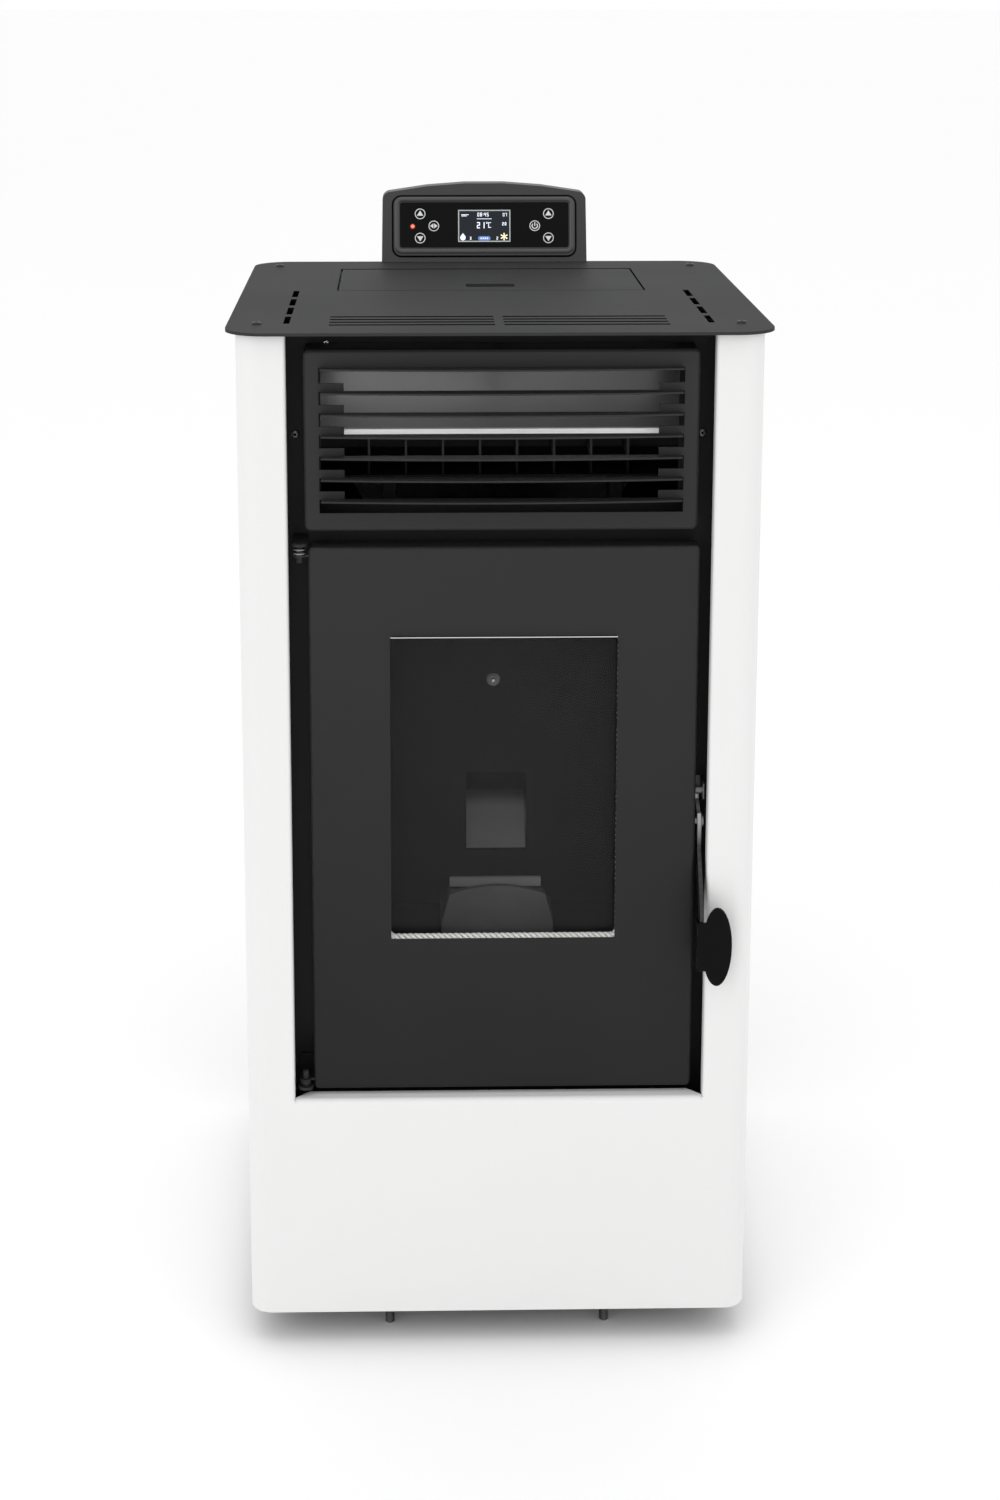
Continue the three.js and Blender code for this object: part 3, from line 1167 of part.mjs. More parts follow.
// A bracket off the front frame with the pin that one ear of the door turns on.
function hingeBracket([z0, z1], pinSpan, collar) {
  const back = FRAME_SETBACK - GAP;
  const across = around(hingeX, HINGE_PLATE);
  const middle = (pinSpan[0] + pinSpan[1]) / 2;
  const foot = middle > z1 ? [z0 - 9, z1 + 16] : [z0 - 24, z1];
  return join(rod("z", HINGE_PLATE, [z0, z1], [hingeX, HINGE_Y], 20),
    block(across, [HINGE_Y, back], [z0, z1]),
    block(across, [back - HINGE_STEEL, back], foot),
    rod("z", HINGE_PIN, pinSpan, [hingeX, HINGE_Y], 14),
    rod("z", HINGE_PIN + 2, collar, [hingeX, HINGE_Y], 16));
}

function upperHinge() {
  const z0 = doorTop + 1.2;
  const ear = UPPER_EAR + EAR_THICK + GAP;
  return hingeBracket([z0, z0 + HINGE_STEEL], [UPPER_EAR - 6, z0 + 1], [ear, ear + 3]);
}

function lowerHinge() {
  const z1 = LOWER_EAR - 6;
  return hingeBracket([z1 - HINGE_STEEL, z1], [z1 - 1, LOWER_EAR + EAR_THICK + 8],
    [LOWER_EAR - GAP - 3, LOWER_EAR - GAP]);
}

// ---------------------------------------------------------------- claw latch
function latchPivot() {
  const far = leverX + LEVER_THICK + GAP;
  return join(rod("x", LATCH_PIN, [doorRight + GAP, far + 1], [LATCH_Y, LATCH_Z], 16),
    rod("x", LATCH_PIN + 2.5, [far, far + 2], [LATCH_Y, LATCH_Z], 16));
}

// The lever in section: the claw behind and below the keeper, the boss, and the arm down to the grip.
function latchLever() {
  const y = LATCH_Y;
  const z = LATCH_Z;
  const hookTop = KEEPER_Z - KEEPER_PIN - 0.7;
  const hookY = KEEPER_Y + KEEPER_PIN + 2.5;
  const foot = GRIP_Y + GRIP_THICK + GAP;
  const low = GRIP_CENTRE_Z - TONGUE_HEIGHT / 2 + 3;
  const outline = polygon([[y - 8, z], [y - 8, z - 26], [foot, GRIP_CENTRE_Z + TONGUE_HEIGHT / 2 + 12],
    [foot, low], [foot + 12, low], [foot + 15, GRIP_CENTRE_Z + 30], [y + 8, z - 22], [y + 8, z - 3],
    [hookY + 5.5, z + 12], [hookY + 5.5, hookTop], [hookY, hookTop], [hookY, z + 17], [y + 4, z + 9],
    [y - 4, z + 9]]);
  const span = [leverX, leverX + LEVER_THICK];
  return cut(sideSheet(outline, span), rod("x", LATCH_PIN + GAP, grown(span, 1), [y, z], 16));
}

function latchGrip() {
  const face = [GRIP_Y, GRIP_Y + GRIP_THICK];
  const oval = new THREE.Shape();
  oval.absellipse(GRIP_CENTRE_X, GRIP_CENTRE_Z, GRIP_WIDTH / 2, GRIP_HEIGHT / 2, 0, 2 * Math.PI, false, 0);
  const tall = around(GRIP_CENTRE_Z, TONGUE_HEIGHT / 2);
  const flange = [leverX - GAP - GRIP_THICK, leverX - GAP];
  return join(frontSheet(oval, face, 16), block([flange[0], GRIP_CENTRE_X - 8], face, tall),
    block(flange, [GRIP_Y, GRIP_Y + 16], tall));
}

function latchKeeper() {
  const back = FRAME_SETBACK - GAP;
  const right = openingHalf - GAP;
  const tall = around(KEEPER_Z, 8);
  return join(rod("x", KEEPER_PIN, [doorRight + 1.3, right - 1], [KEEPER_Y, KEEPER_Z], 16),
    block([right - 1.6, right], [KEEPER_Y - 6, back], tall),
    block([doorRight + 1.3, right], [back - SHEET, back], tall));
}

// ---------------------------------------------------------------- control panel
const panel = new THREE.Group();
panel.position.set(0, panelFront, PLATE_TOP + GAP);
panel.rotation.x = -PANEL_LEAN;
panel.updateMatrix();

function arched(width, shoulder, arch, corner) {
  const half = width / 2;
  const shape = new THREE.Shape();
  shape.moveTo(-half, 0);
  shape.lineTo(half, 0);
  shape.lineTo(half - 1, shoulder - corner);
  shape.absarc(half - 1 - corner, shoulder - corner, corner, 0, Math.PI * 0.42, false);
  shape.quadraticCurveTo(0, shoulder + 2 * arch, -(half - 1 - corner) - corner * 0.25, shoulder - corner * 0.03);
  shape.absarc(-half + 1 + corner, shoulder - corner, corner, Math.PI * 0.58, Math.PI, false);
  return shape;
}

function controlHousing() {
  const lean = new THREE.Matrix4().makeShear(0, 0, 0, 0, 0, Math.tan(PANEL_LEAN));
  const cos = Math.cos(PANEL_LEAN);
  const outline = arched(PANEL_WIDTH, PANEL_SHOULDER * cos, PANEL_ARCH, PANEL_CORNER);
  const body = frontSheet(outline, [0, PANEL_THICK], 5).applyMatrix4(lean)
    .translate(0, panelFront, PLATE_TOP + GAP);
  const ring = rectangle(around(0, BEZEL_WIDTH / 2), [BEZEL_BOTTOM, BEZEL_BOTTOM + BEZEL_HEIGHT], 9);
  ring.holes.push(rectangle(around(0, OVERLAY_WIDTH / 2 + GAP),
    grown([OVERLAY_BOTTOM, OVERLAY_BOTTOM + OVERLAY_HEIGHT], GAP), 3));
  const bezel = frontSheet(ring, [-BEZEL_PROUD, 1], 3).applyMatrix4(panel.matrix);
  const behind = PLATE_DEPTH + GAP;
  const neck = block(around(0, PANEL_WIDTH * 0.4), [behind, panelFront + PANEL_THICK + 4],
    [PLATE_TOP - 34, PLATE_TOP + 8]);
  const grip = block(around(0, PANEL_WIDTH * 0.4), [flangeFace, behind + 1],
    [PLATE_TOP - 34, plateUnder - GAP]);
  return join(body, bezel, neck, grip);
}

const keyPlaces = {
  key_up_left: [-OUTER_KEY_X, KEY_CENTRE + KEY_RISE],
  key_down_left: [-OUTER_KEY_X, KEY_CENTRE - KEY_RISE],
  key_set: [-INNER_KEY_X, KEY_CENTRE],
  key_up_right: [OUTER_KEY_X, KEY_CENTRE + KEY_RISE],
  key_down_right: [OUTER_KEY_X, KEY_CENTRE - KEY_RISE],
  key_power: [INNER_KEY_X, KEY_CENTRE],
};
const screenX = around(0, SCREEN_WIDTH / 2);
const screenMiddle = OVERLAY_BOTTOM + OVERLAY_HEIGHT / 2 - 1;
const screenZ = around(screenMiddle, SCREEN_HEIGHT / 2);

function controlOverlay() {
  const outline = rectangle(around(0, OVERLAY_WIDTH / 2), [OVERLAY_BOTTOM, OVERLAY_BOTTOM + OVERLAY_HEIGHT], 2.5);
  const through = [-OVERLAY_THICK - 1, 1];
  const holes = Object.values(keyPlaces).map((place) => rod("y", KEY_RADIUS + KEY_CLEARANCE, through, place, 20));
  return cut(frontSheet(outline, [-OVERLAY_THICK - GAP, -GAP], 2),
    block(grown(screenX, GAP), through, grown(screenZ, GAP)), ...holes);
}

function displayScreen() {
  return block(screenX, [-GAP - SCREEN_THICK, -GAP], screenZ);
}

function key([x, z]) {
  const front = -GAP - OVERLAY_THICK - KEY_PROUD;
  return rod("y", KEY_RADIUS, [front, -GAP - KEY_TRAVEL], [x, z], 20);
}

// ---------------------------------------------------------------- assembly
add("top_plate", topPlate(), paint.plate);
add("casing", casing(), paint.white);
add("base_pan", basePan(), paint.black);
add("rear_panel", rearPanel(), paint.black);
add("front_frame", frontFrame(), paint.black);
const footNames = ["foot_front_left", "foot_front_right", "foot_rear_left", "foot_rear_right"];
footPlaces().forEach((place, n) => add(footNames[n], foot(place), paint.black));

add("outlet_grille", outletGrille(), paint.black);
add("air_deflector", airDeflector(), paint.bare);
add("exchanger_outlet", exchangerOutlet(), paint.black);

add("firebox", firebox(), paint.cast);
add("fireback_plate", firebackPlate(), paint.cast);
add("fireback_bolt", firebackBolt(), paint.bare);
add("pot_shelf", potShelf(), paint.cast);
add("burn_pot", burnPot(), paint.cast);
add("ash_pan", ashPan(), paint.bare);

add("hopper", hopper(), paint.bare);
add("hopper_guard", hopperGuard(), paint.bare);
add("lid_hinge_left", lidHinge(-1), paint.bare);
add("lid_hinge_right", lidHinge(1), paint.bare);
add("hopper_lid", hopperLid(), paint.plate);
add("pellet_chute", pelletChute(), paint.bare);
add("auger_tube", augerTube(), paint.bare);
add("auger_screw", augerScrew(), paint.bare);
add("auger_motor", augerMotor(), paint.black);

add("smoke_box", smokeBox(), paint.bare);
add("exhaust_housing", exhaustHousing(), paint.bare);
add("exhaust_impeller", fanWheel([EXHAUST_X + 10, EXHAUST_X + EXHAUST_WIDE - 10], IMPELLER_RADIUS,
  IMPELLER_BLADES, 12, [exhaustY, EXHAUST_Z]), paint.bare);
add("exhaust_motor", exhaustMotor(), paint.bare);
add("flue_spigot", flueSpigot(), paint.bare);
add("air_intake", airIntake(), paint.bare);
add("igniter", igniter(), paint.bare);

add("blower_housing", blowerHousing(), paint.bare);
add("blower_drum", fanWheel([blowerX[0] + 12, blowerX[1] - 12], DRUM_RADIUS, DRUM_BLADES, 10,
  [blowerY, blowerZ]), paint.bare);
add("blower_motor", blowerMotor(), paint.bare);
add("control_board", controlBoard(), paint.plastic);
add("power_inlet", powerInlet(), paint.plastic);
add("rocker_switch", rockerSwitch(), paint.plastic);

add("door_panel", doorPanel(), paint.black);
add("glass_seal", glassSeal(), paint.rope);
add("door_glass", doorGlass(), paint.glass);
add("glass_retainer", glassRetainer(), paint.black);
add("door_seal", doorSeal(), paint.rope);
add("upper_hinge", upperHinge(), paint.black);
add("lower_hinge", lowerHinge(), paint.black);

add("latch_pivot", latchPivot(), paint.bare);
add("latch_lever", latchLever(), paint.black);
add("latch_grip", latchGrip(), paint.black);
add("latch_keeper", latchKeeper(), paint.bare);

add("control_housing", controlHousing(), paint.plastic);
stove.add(panel);
add("control_overlay", controlOverlay(), paint.plastic, panel);
add("display_screen", displayScreen(), paint.glass, panel);
Object.entries(keyPlaces).forEach(([name, place]) => add(name, key(place), paint.plastic, panel));

export default stove;
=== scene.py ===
# A free-standing pellet stove: white folded casing, dark plate and hopper lid, glazed fire door,
# warm-air outlet and a leaning control panel. Metres, in the row frame: X right, Y back, Z up.
import math

import bmesh
import bpy
from mathutils import Matrix, Vector


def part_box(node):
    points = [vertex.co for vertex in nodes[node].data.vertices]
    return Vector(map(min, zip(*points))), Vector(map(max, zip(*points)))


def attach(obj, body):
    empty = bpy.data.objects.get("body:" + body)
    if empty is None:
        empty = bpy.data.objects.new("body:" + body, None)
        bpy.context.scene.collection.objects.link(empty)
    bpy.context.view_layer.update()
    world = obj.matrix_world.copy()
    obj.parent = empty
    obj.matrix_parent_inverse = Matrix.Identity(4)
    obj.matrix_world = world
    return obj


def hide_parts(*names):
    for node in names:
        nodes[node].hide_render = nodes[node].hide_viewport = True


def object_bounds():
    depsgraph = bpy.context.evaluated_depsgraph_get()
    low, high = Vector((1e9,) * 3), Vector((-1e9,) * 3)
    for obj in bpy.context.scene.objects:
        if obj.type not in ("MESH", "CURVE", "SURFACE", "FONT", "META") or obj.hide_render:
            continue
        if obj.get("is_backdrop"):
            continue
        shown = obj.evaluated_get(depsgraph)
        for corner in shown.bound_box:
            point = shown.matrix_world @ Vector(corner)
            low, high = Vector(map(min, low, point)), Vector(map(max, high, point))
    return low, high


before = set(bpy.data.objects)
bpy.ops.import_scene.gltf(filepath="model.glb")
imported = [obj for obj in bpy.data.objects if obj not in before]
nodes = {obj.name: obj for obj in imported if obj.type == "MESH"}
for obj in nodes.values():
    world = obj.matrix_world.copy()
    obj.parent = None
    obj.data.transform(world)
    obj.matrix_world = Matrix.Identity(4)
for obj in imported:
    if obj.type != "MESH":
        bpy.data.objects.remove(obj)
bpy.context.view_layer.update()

# ---------------------------------------------------------------- camera
# The photograph was taken square on from above with its verticals kept upright. This camera is
# tilted a little instead, so that the other views, which keep its shift, still hold the whole stove.
CAMERA_PLACE = (-0.0862, -2.5902, 1.3816)
DOWN_TILT, SIDE_TURN = 0.1963, -0.0207
camera_data = bpy.data.cameras.new("camera")
camera_data.lens = 60.0
camera_data.sensor_width = 36.0
camera_data.shift_x = 0.0264
camera_data.shift_y = -0.2
camera = bpy.data.objects.new("camera", camera_data)
camera.location = CAMERA_PLACE
camera.rotation_euler = (math.pi / 2 - DOWN_TILT, 0.0, SIDE_TURN)
bpy.context.scene.collection.objects.link(camera)
bpy.context.scene.camera = camera

# ---------------------------------------------------------------- casing
# One sheet of 2 mm steel folded round the sides and front, with an opening whose edges are bent
# inwards and a rolled sill. Powder-coated white, with a fine orange peel.


class Link:
    """A shader socket on which Python's arithmetic adds Math nodes."""

    def __init__(self, tree, socket):
        self.tree, self.socket = tree, socket

    def maths(self, operation, first, second):
        node = self.tree.nodes.new("ShaderNodeMath")
        node.operation = operation
        for place, value in zip(node.inputs, (first, second)):
            if isinstance(value, Link):
                self.tree.links.new(value.socket, place)
            else:
                place.default_value = value
        return Link(self.tree, node.outputs[0])

    def __add__(self, other):
        return self.maths("ADD", self, other)

    def __radd__(self, other):
        return self.maths("ADD", other, self)

    def __sub__(self, other):
        return self.maths("SUBTRACT", self, other)

    def __rsub__(self, other):
        return self.maths("SUBTRACT", other, self)

    def __mul__(self, other):
        return self.maths("MULTIPLY", self, other)

    def __rmul__(self, other):
        return self.maths("MULTIPLY", other, self)


class Finish:
    """A material: its principled shader, and the nodes that vary it over the surface."""

    def __init__(self, name, **fixed):
        self.material = bpy.data.materials.new(name)
        self.material.use_nodes = True
        self.tree = self.material.node_tree
        self.shader = self.tree.nodes["Principled BSDF"]
        for socket, value in fixed.items():
            self.shader.inputs[socket.replace("_", " ")].default_value = value
        self.place = self.node("ShaderNodeTexCoord", output="Object")

    def node(self, kind, settings=None, output=0, **values):
        """A node with its settings made first. Sockets go by name, or by number as i0, i6 or i7."""
        node = self.tree.nodes.new(kind)
        for setting, value in (settings or {}).items():
            setattr(node, setting, value)
        for socket, value in values.items():
            numbered = socket[0] == "i" and socket[1:].isdigit()
            place = node.inputs[int(socket[1:]) if numbered else socket.replace("_", " ")]
            if isinstance(value, Link):
                self.tree.links.new(value.socket, place)
            else:
                place.default_value = value
        return Link(self.tree, node.outputs[output])

    def along(self, axis, low, high):
        """0 before the low place on an axis and 1 past the high one."""
        place = self.node("ShaderNodeSeparateXYZ", output="XYZ".index(axis), Vector=self.place)
        return self.node("ShaderNodeMapRange", Value=place, From_Min=low, From_Max=high)

    def feed(self, socket, link):
        self.tree.links.new(link.socket, self.shader.inputs[socket])

    def noise(self, scale, detail=2.0, roughness=0.5):
        return self.node("ShaderNodeTexNoise", output="Fac", Vector=self.place, Scale=scale,
                         Detail=detail, Roughness=roughness)

    def blend(self, share, first, second):
        """One colour passing into another by share."""
        return self.node("ShaderNodeMix", {"data_type": "RGBA"}, output=2, i0=share,
                         i6=(*first, 1.0), i7=(*second, 1.0))

    def raise_by(self, height, depth, strength=1.0):
        self.feed("Normal", self.node("ShaderNodeBump", Height=height, Distance=depth, Strength=strength))


def coated(name, light, dark, roughness, grain, depth, cloud=6.0, worn=None, fade=None, **fixed):
    """Powder coat or heat paint: a fine grain, slow changes of tone and rubbed corners. A fade
    between two heights leaves it paler above and darker below, as painted shade."""
    coat = Finish(name, **fixed)
    slow = coat.noise(cloud, 3.0)
    fine = coat.noise(grain, 3.0, 0.6)
    share = slow * 0.6 + fine * 0.4
    if fade:
        share = share * 0.3 + (1.0 - coat.along("Z", *fade)) * 0.7
    tone = coat.blend(share, light, dark)
    wear_and_highlight = coat.node("ShaderNodeAttribute", {"attribute_name": "corner"}, output="Fac")
    patch = coat.node("ShaderNodeMapRange", Value=coat.noise(45.0, 4.0, 0.65), From_Min=0.5, From_Max=0.68)
    edge = coat.node("ShaderNodeMix", {"data_type": "RGBA"}, output=2, i0=wear_and_highlight * patch * 0.6,
                     i6=tone, i7=(*(worn or light), 1.0))
    coat.feed("Base Color", edge)
    coat.feed("Roughness", slow * 0.08 + fine * 0.06 + (roughness - 0.07))
    coat.raise_by(fine, depth)
    return coat.material


white_enamel = coated("white_powder_coat", (0.80, 0.80, 0.796), (0.755, 0.755, 0.751), 0.40, 620.0,
                      0.00005, cloud=2.5, worn=(0.70, 0.70, 0.69))


def kept(mesh_shape, name, material, body, stands_for=()):
    """Makes the finished piece from its bmesh, and says what it rides on and stands for."""
    mesh = bpy.data.meshes.new(name)
    mesh_shape.to_mesh(mesh)
    mesh_shape.free()
    piece = bpy.data.objects.new(name, mesh)
    bpy.context.scene.collection.objects.link(piece)
    mesh.materials.clear()
    mesh.materials.append(material)
    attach(piece, body)
    if stands_for:
        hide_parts(*stands_for)
    return piece


def shade(mesh_shape, sharp=30.0):
    """Smooth over curves and bends, crisp where faces meet at more than the sharp angle."""
    for face in mesh_shape.faces:
        face.smooth = True
    for edge in mesh_shape.edges:
        edge.smooth = not (edge.is_manifold and edge.calc_face_angle(0.0) > math.radians(sharp))


def folded(node, width, material, body="body", steps=2, sharp=28.0):
    """The CAD node's own form, joined up and with its corners broken as folding and paint leave them."""
    shape = bmesh.new()
    shape.from_mesh(nodes[node].data)
    for layer in list(shape.loops.layers.uv):
        shape.loops.layers.uv.remove(layer)
    bmesh.ops.remove_doubles(shape, verts=shape.verts, dist=0.00002)
    bmesh.ops.dissolve_limit(shape, angle_limit=math.radians(0.4), verts=shape.verts, edges=shape.edges)
    corners = [e for e in shape.edges if e.is_manifold and e.calc_face_angle(0.0) > math.radians(sharp)]
    worn = shape.faces.layers.float.new("corner")
    if width:
        made = bmesh.ops.bevel(shape, geom=corners, offset=width, offset_type="OFFSET", segments=steps,
                               profile=0.5, affect="EDGES", clamp_overlap=True, material=-1)
        for face in made["faces"]:
            face[worn] = 1.0
    shade(shape, 40.0)
    piece = kept(shape, node + "_finished", material, body, (node,))
    even = piece.modifiers.new("even_shading", "WEIGHTED_NORMAL")
    even.keep_sharp = True
    return piece


folded("casing", 0.0006, white_enamel)

# ---------------------------------------------------------------- top plate and hopper lid
# A 3 mm plate with rounded corners and cut slots over the warm-air duct, and a flush lid with a
# pressed finger cup. Both are painted with a textured charcoal heat paint. The slots' walls and thin
# strips along their edges are near black as painted shade, and a screw near each corner holds the plate down.
PLATE_TOP = 1.035
SLOTS_HALF_WIDE, SLOTS_FRONT, SLOTS_BACK = 0.245, -0.280, 0.250
AIR_SLOT_X, AIR_SLOT_FIRST, AIR_SLOT_PITCH, AIR_SLOT_ROWS = 0.0835, -0.237, 0.018, 4
AIR_SLOT_HALF_WIDE = 0.0028
SLOT_SHADE_STRIP = (0.1580, 0.0011, 0.00012)
PLATE_SCREW_X, PLATE_SCREW_FRONT, PLATE_SCREW_REAR, PLATE_SCREW_RADIUS = 0.2315, -0.230, 0.217, 0.0048
plate_paint = coated("charcoal_heat_paint", (0.045, 0.0455, 0.046), (0.035, 0.0355, 0.036), 0.55, 1500.0,
                     0.00008, worn=(0.12, 0.12, 0.12), Specular_IOR_Level=0.03)
top_sheet = folded("top_plate", 0.00025, plate_paint).data
folded("hopper_lid", 0.0004, plate_paint, "lid")


def turned(name, profile, place, axis, material, body, steps=28, stands_for=()):
    """A lathe-turned piece: the profile is (radius, height) points, its axis through place."""
    shape = bmesh.new()
    points = [shape.verts.new((radius, 0.0, height)) for radius, height in profile]
    for first, second in zip(points, points[1:]):
        shape.edges.new((first, second))
    bmesh.ops.spin(shape, geom=shape.verts[:] + shape.edges[:], cent=(0, 0, 0), axis=(0, 0, 1),
                   angle=2 * math.pi, steps=steps, use_merge=True, use_duplicate=False)
    bmesh.ops.remove_doubles(shape, verts=shape.verts, dist=0.000005)
    bmesh.ops.recalc_face_normals(shape, faces=shape.faces)
    turn = Vector((0, 0, 1)).rotation_difference(Vector(axis)).to_matrix().to_4x4()
    bmesh.ops.transform(shape, matrix=Matrix.Translation(place) @ turn, verts=shape.verts)
    shade(shape, 35.0)
    return kept(shape, name, material, body, stands_for)


black_screw = coated("blackened_screw", (0.028, 0.028, 0.030), (0.018, 0.018, 0.019), 0.34, 2200.0,
                     0.00003, worn=(0.12, 0.12, 0.12), Metallic=0.6)
# Near-black painted shade, used for screw sockets, the slots' walls and edges, and the line round the bezel.
shade_black = coated("painted_shade_black", (0.005, 0.005, 0.005), (0.003, 0.003, 0.003), 0.7, 1500.0,
                      0.00003, Specular_IOR_Level=0.01)


def button_screw(name, place, axis, radius, material, body):
    """A button-head screw: a low dome with a hexagon socket."""
    tall = radius * 0.52
    dome = [(0.0, tall * 0.72), (radius * 0.30, tall * 0.72), (radius * 0.34, tall)]
    for step in range(1, 6):
        turn = step / 5 * math.pi / 2
        dome.append((radius * (0.34 + 0.66 * math.sin(turn)), tall * (0.12 + 0.88 * math.cos(turn))))
    turned(name, dome + [(radius, 0.0), (0.0, 0.0)], place, axis, material, body)
    # The socket is a thin near-black disc on the dome: painted shade standing in for the recess.
    low = Vector(place) + Vector(axis) * tall * 0.725
    turned(name + "_socket", [(0.0, 0.0), (radius * 0.31, 0.0), (radius * 0.31, tall * 0.05),
           (0.0, tall * 0.05)], low, axis, shade_black, body, steps=6)


# The slots' upright walls take the near-black painted shade, where the slots look dark.
top_sheet.materials.append(shade_black)
for face in top_sheet.polygons:
    upright = abs(face.normal.z) < 0.9
    inside = abs(face.center.x) < SLOTS_HALF_WIDE and SLOTS_FRONT < face.center.y < SLOTS_BACK
    if upright and inside:
        face.material_index = 1


def block(shape, middle, size):
    """Adds a plain box, given by its middle and its three sizes."""
    bmesh.ops.create_cube(shape, size=1.0,
                          matrix=Matrix.Translation(middle) @ Matrix.Diagonal((*size, 1.0)))


# Thin near-black strips along each air slot's edges: painted shade of the dark slots.
slot_shade_strips = bmesh.new()
for x in (-AIR_SLOT_X, AIR_SLOT_X):
    for row in range(AIR_SLOT_ROWS):
        for edge in (-AIR_SLOT_HALF_WIDE, AIR_SLOT_HALF_WIDE):
            block(slot_shade_strips, (x, AIR_SLOT_FIRST + row * AIR_SLOT_PITCH + edge, PLATE_TOP), SLOT_SHADE_STRIP)
kept(slot_shade_strips, "air_slot_painted_shade", shade_black, "body")
for side, x in (("left", -PLATE_SCREW_X), ("right", PLATE_SCREW_X)):
    for row, y in (("front", PLATE_SCREW_FRONT), ("rear", PLATE_SCREW_REAR)):
        button_screw("plate_screw_%s_%s" % (row, side), (x, y, PLATE_TOP), (0, 0, 1), PLATE_SCREW_RADIUS,
                     black_screw, "body")

# ---------------------------------------------------------------- front frame, base pan and rear panel
# Inner sheets behind the casing, in matt black heat paint. A row of small plated screws down each
# rear flange of the casing holds the rear panel.
REAR_SCREW_X, REAR_SCREW_LOW, REAR_SCREW_PITCH, REAR_SCREW_RADIUS = 0.241, 0.070, 0.184, 0.0036
black_paint = coated("matt_black_heat_paint", (0.022, 0.022, 0.0225), (0.016, 0.016, 0.0165), 0.50, 1300.0,
                     0.00008, worn=(0.06, 0.06, 0.06), Specular_IOR_Level=0.22)
folded("front_frame", 0.0003, black_paint)
folded("base_pan", 0.0004, black_paint)
folded("rear_panel", 0.0003, black_paint)


def metal(name, light, dark, roughness, scale, depth=0.00003, spangle=False, **fixed):
    """Bare metal: rolled or plated, with a spangle where it is galvanised."""
    bare = Finish(name, Metallic=1.0, **fixed)
    broad = bare.noise(scale, 3.0, 0.55)
    if spangle:
        broad = bare.node("ShaderNodeTexVoronoi", {"feature": "F1"}, output="Color", Vector=bare.place,
                          Scale=scale)
        broad = bare.node("ShaderNodeSeparateColor", output=0, Color=broad)
    fine = bare.noise(900.0, 2.0)
    bare.feed("Base Color", bare.blend(broad * 0.7 + fine * 0.3, light, dark))
    bare.feed("Roughness", broad * 0.16 + fine * 0.08 + (roughness - 0.12))
    bare.raise_by(fine, depth)
    return bare.material


plated = metal("plated_steel", (0.74, 0.75, 0.77), (0.62, 0.63, 0.66), 0.24, 160.0)
dull_zinc = metal("dull_zinc", (0.30, 0.30, 0.305), (0.18, 0.18, 0.185), 0.45, 260.0)
galvanised = metal("galvanised_sheet", (0.66, 0.68, 0.70), (0.50, 0.52, 0.54), 0.40, 75.0, spangle=True)
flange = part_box("casing")[1].y
for row in range(6):
    for side, x in (("left", -REAR_SCREW_X), ("right", REAR_SCREW_X)):
        place = (x, flange, REAR_SCREW_LOW + row * REAR_SCREW_PITCH)
        button_screw("rear_screw_%s_%d" % (side, row + 1), place, (0, 1, 0), REAR_SCREW_RADIUS, plated,
                     "body")

# ---------------------------------------------------------------- levelling feet
# Threaded studs of dull zinc-plated steel through the base pan, each with a plated lock nut and a
# narrow turned tip on the floor.
STUD_CREST, STUD_ROOT, STUD_END, TIP_RADIUS, TIP_TALL = 0.0048, 0.0043, 0.0042, 0.0024, 0.0016
THREAD_PITCH = 0.0010
NUT_LOW = 0.0278
nut_profile = [(0.0050, 0.0), (0.0085, 0.0), (0.0088, 0.0006), (0.0088, 0.0052), (0.0085, 0.0058),
               (0.0050, 0.0058), (0.0050, 0.0)]
for node in ("foot_front_left", "foot_front_right", "foot_rear_left", "foot_rear_right"):
    low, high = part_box(node)
    middle = (low + high) / 2
    thread = [(0.0, 0.0), (TIP_RADIUS, 0.0), (STUD_END, TIP_TALL)]
    height = TIP_TALL
    while height < high.z - TIP_TALL:
        thread += [(STUD_CREST, height + THREAD_PITCH / 2), (STUD_ROOT, height + THREAD_PITCH)]
        height += THREAD_PITCH
    thread += [(STUD_END, high.z), (0.0, high.z)]
    turned(node + "_stud", thread, (middle.x, middle.y, 0.0), (0, 0, 1), dull_zinc, "body",
           steps=20, stands_for=(node,))
    turned(node + "_nut", nut_profile, (middle.x, middle.y, NUT_LOW), (0, 0, 1), plated, "body",
           steps=6)

# ---------------------------------------------------------------- warm-air outlet
# A pressed face with a rounded rim and bowed shelves. Behind it are a deflector sheet, white on its
# lower lip as a painted highlight and darker above it and towards the right as painted shade, and the
# exchanger's comb of upright fins, near black low down as painted shade. Small screws hold the front frame.
DEFLECTOR_LIP = (0.9316, 0.9325)
DEFLECTOR_SIDES = (-0.15, 0.16)
FIN_SHADE_LINE = (0.901, 0.903)
FRAME_SCREW_X, FRAME_SCREW_Y, FRAME_SCREW_Z, FRAME_SCREW_RADIUS = 0.1965, -0.2230, 0.927, 0.0044
BRIGHT_SCREW, BRIGHT_SCREW_RADIUS = (-0.1660, -0.2232, 1.0160), 0.0030
# This black is paler above and darker below between its fade heights: painted shade, as the light falls from
# above.
grille_paint = coated("satin_black_heat_paint", (0.034, 0.034, 0.0345), (0.008, 0.008, 0.0085), 0.42,
                      1300.0, 0.00006, worn=(0.06, 0.06, 0.06), fade=(0.25, 1.05),
                      Specular_IOR_Level=0.16)
folded("outlet_grille", 0.0004, grille_paint)
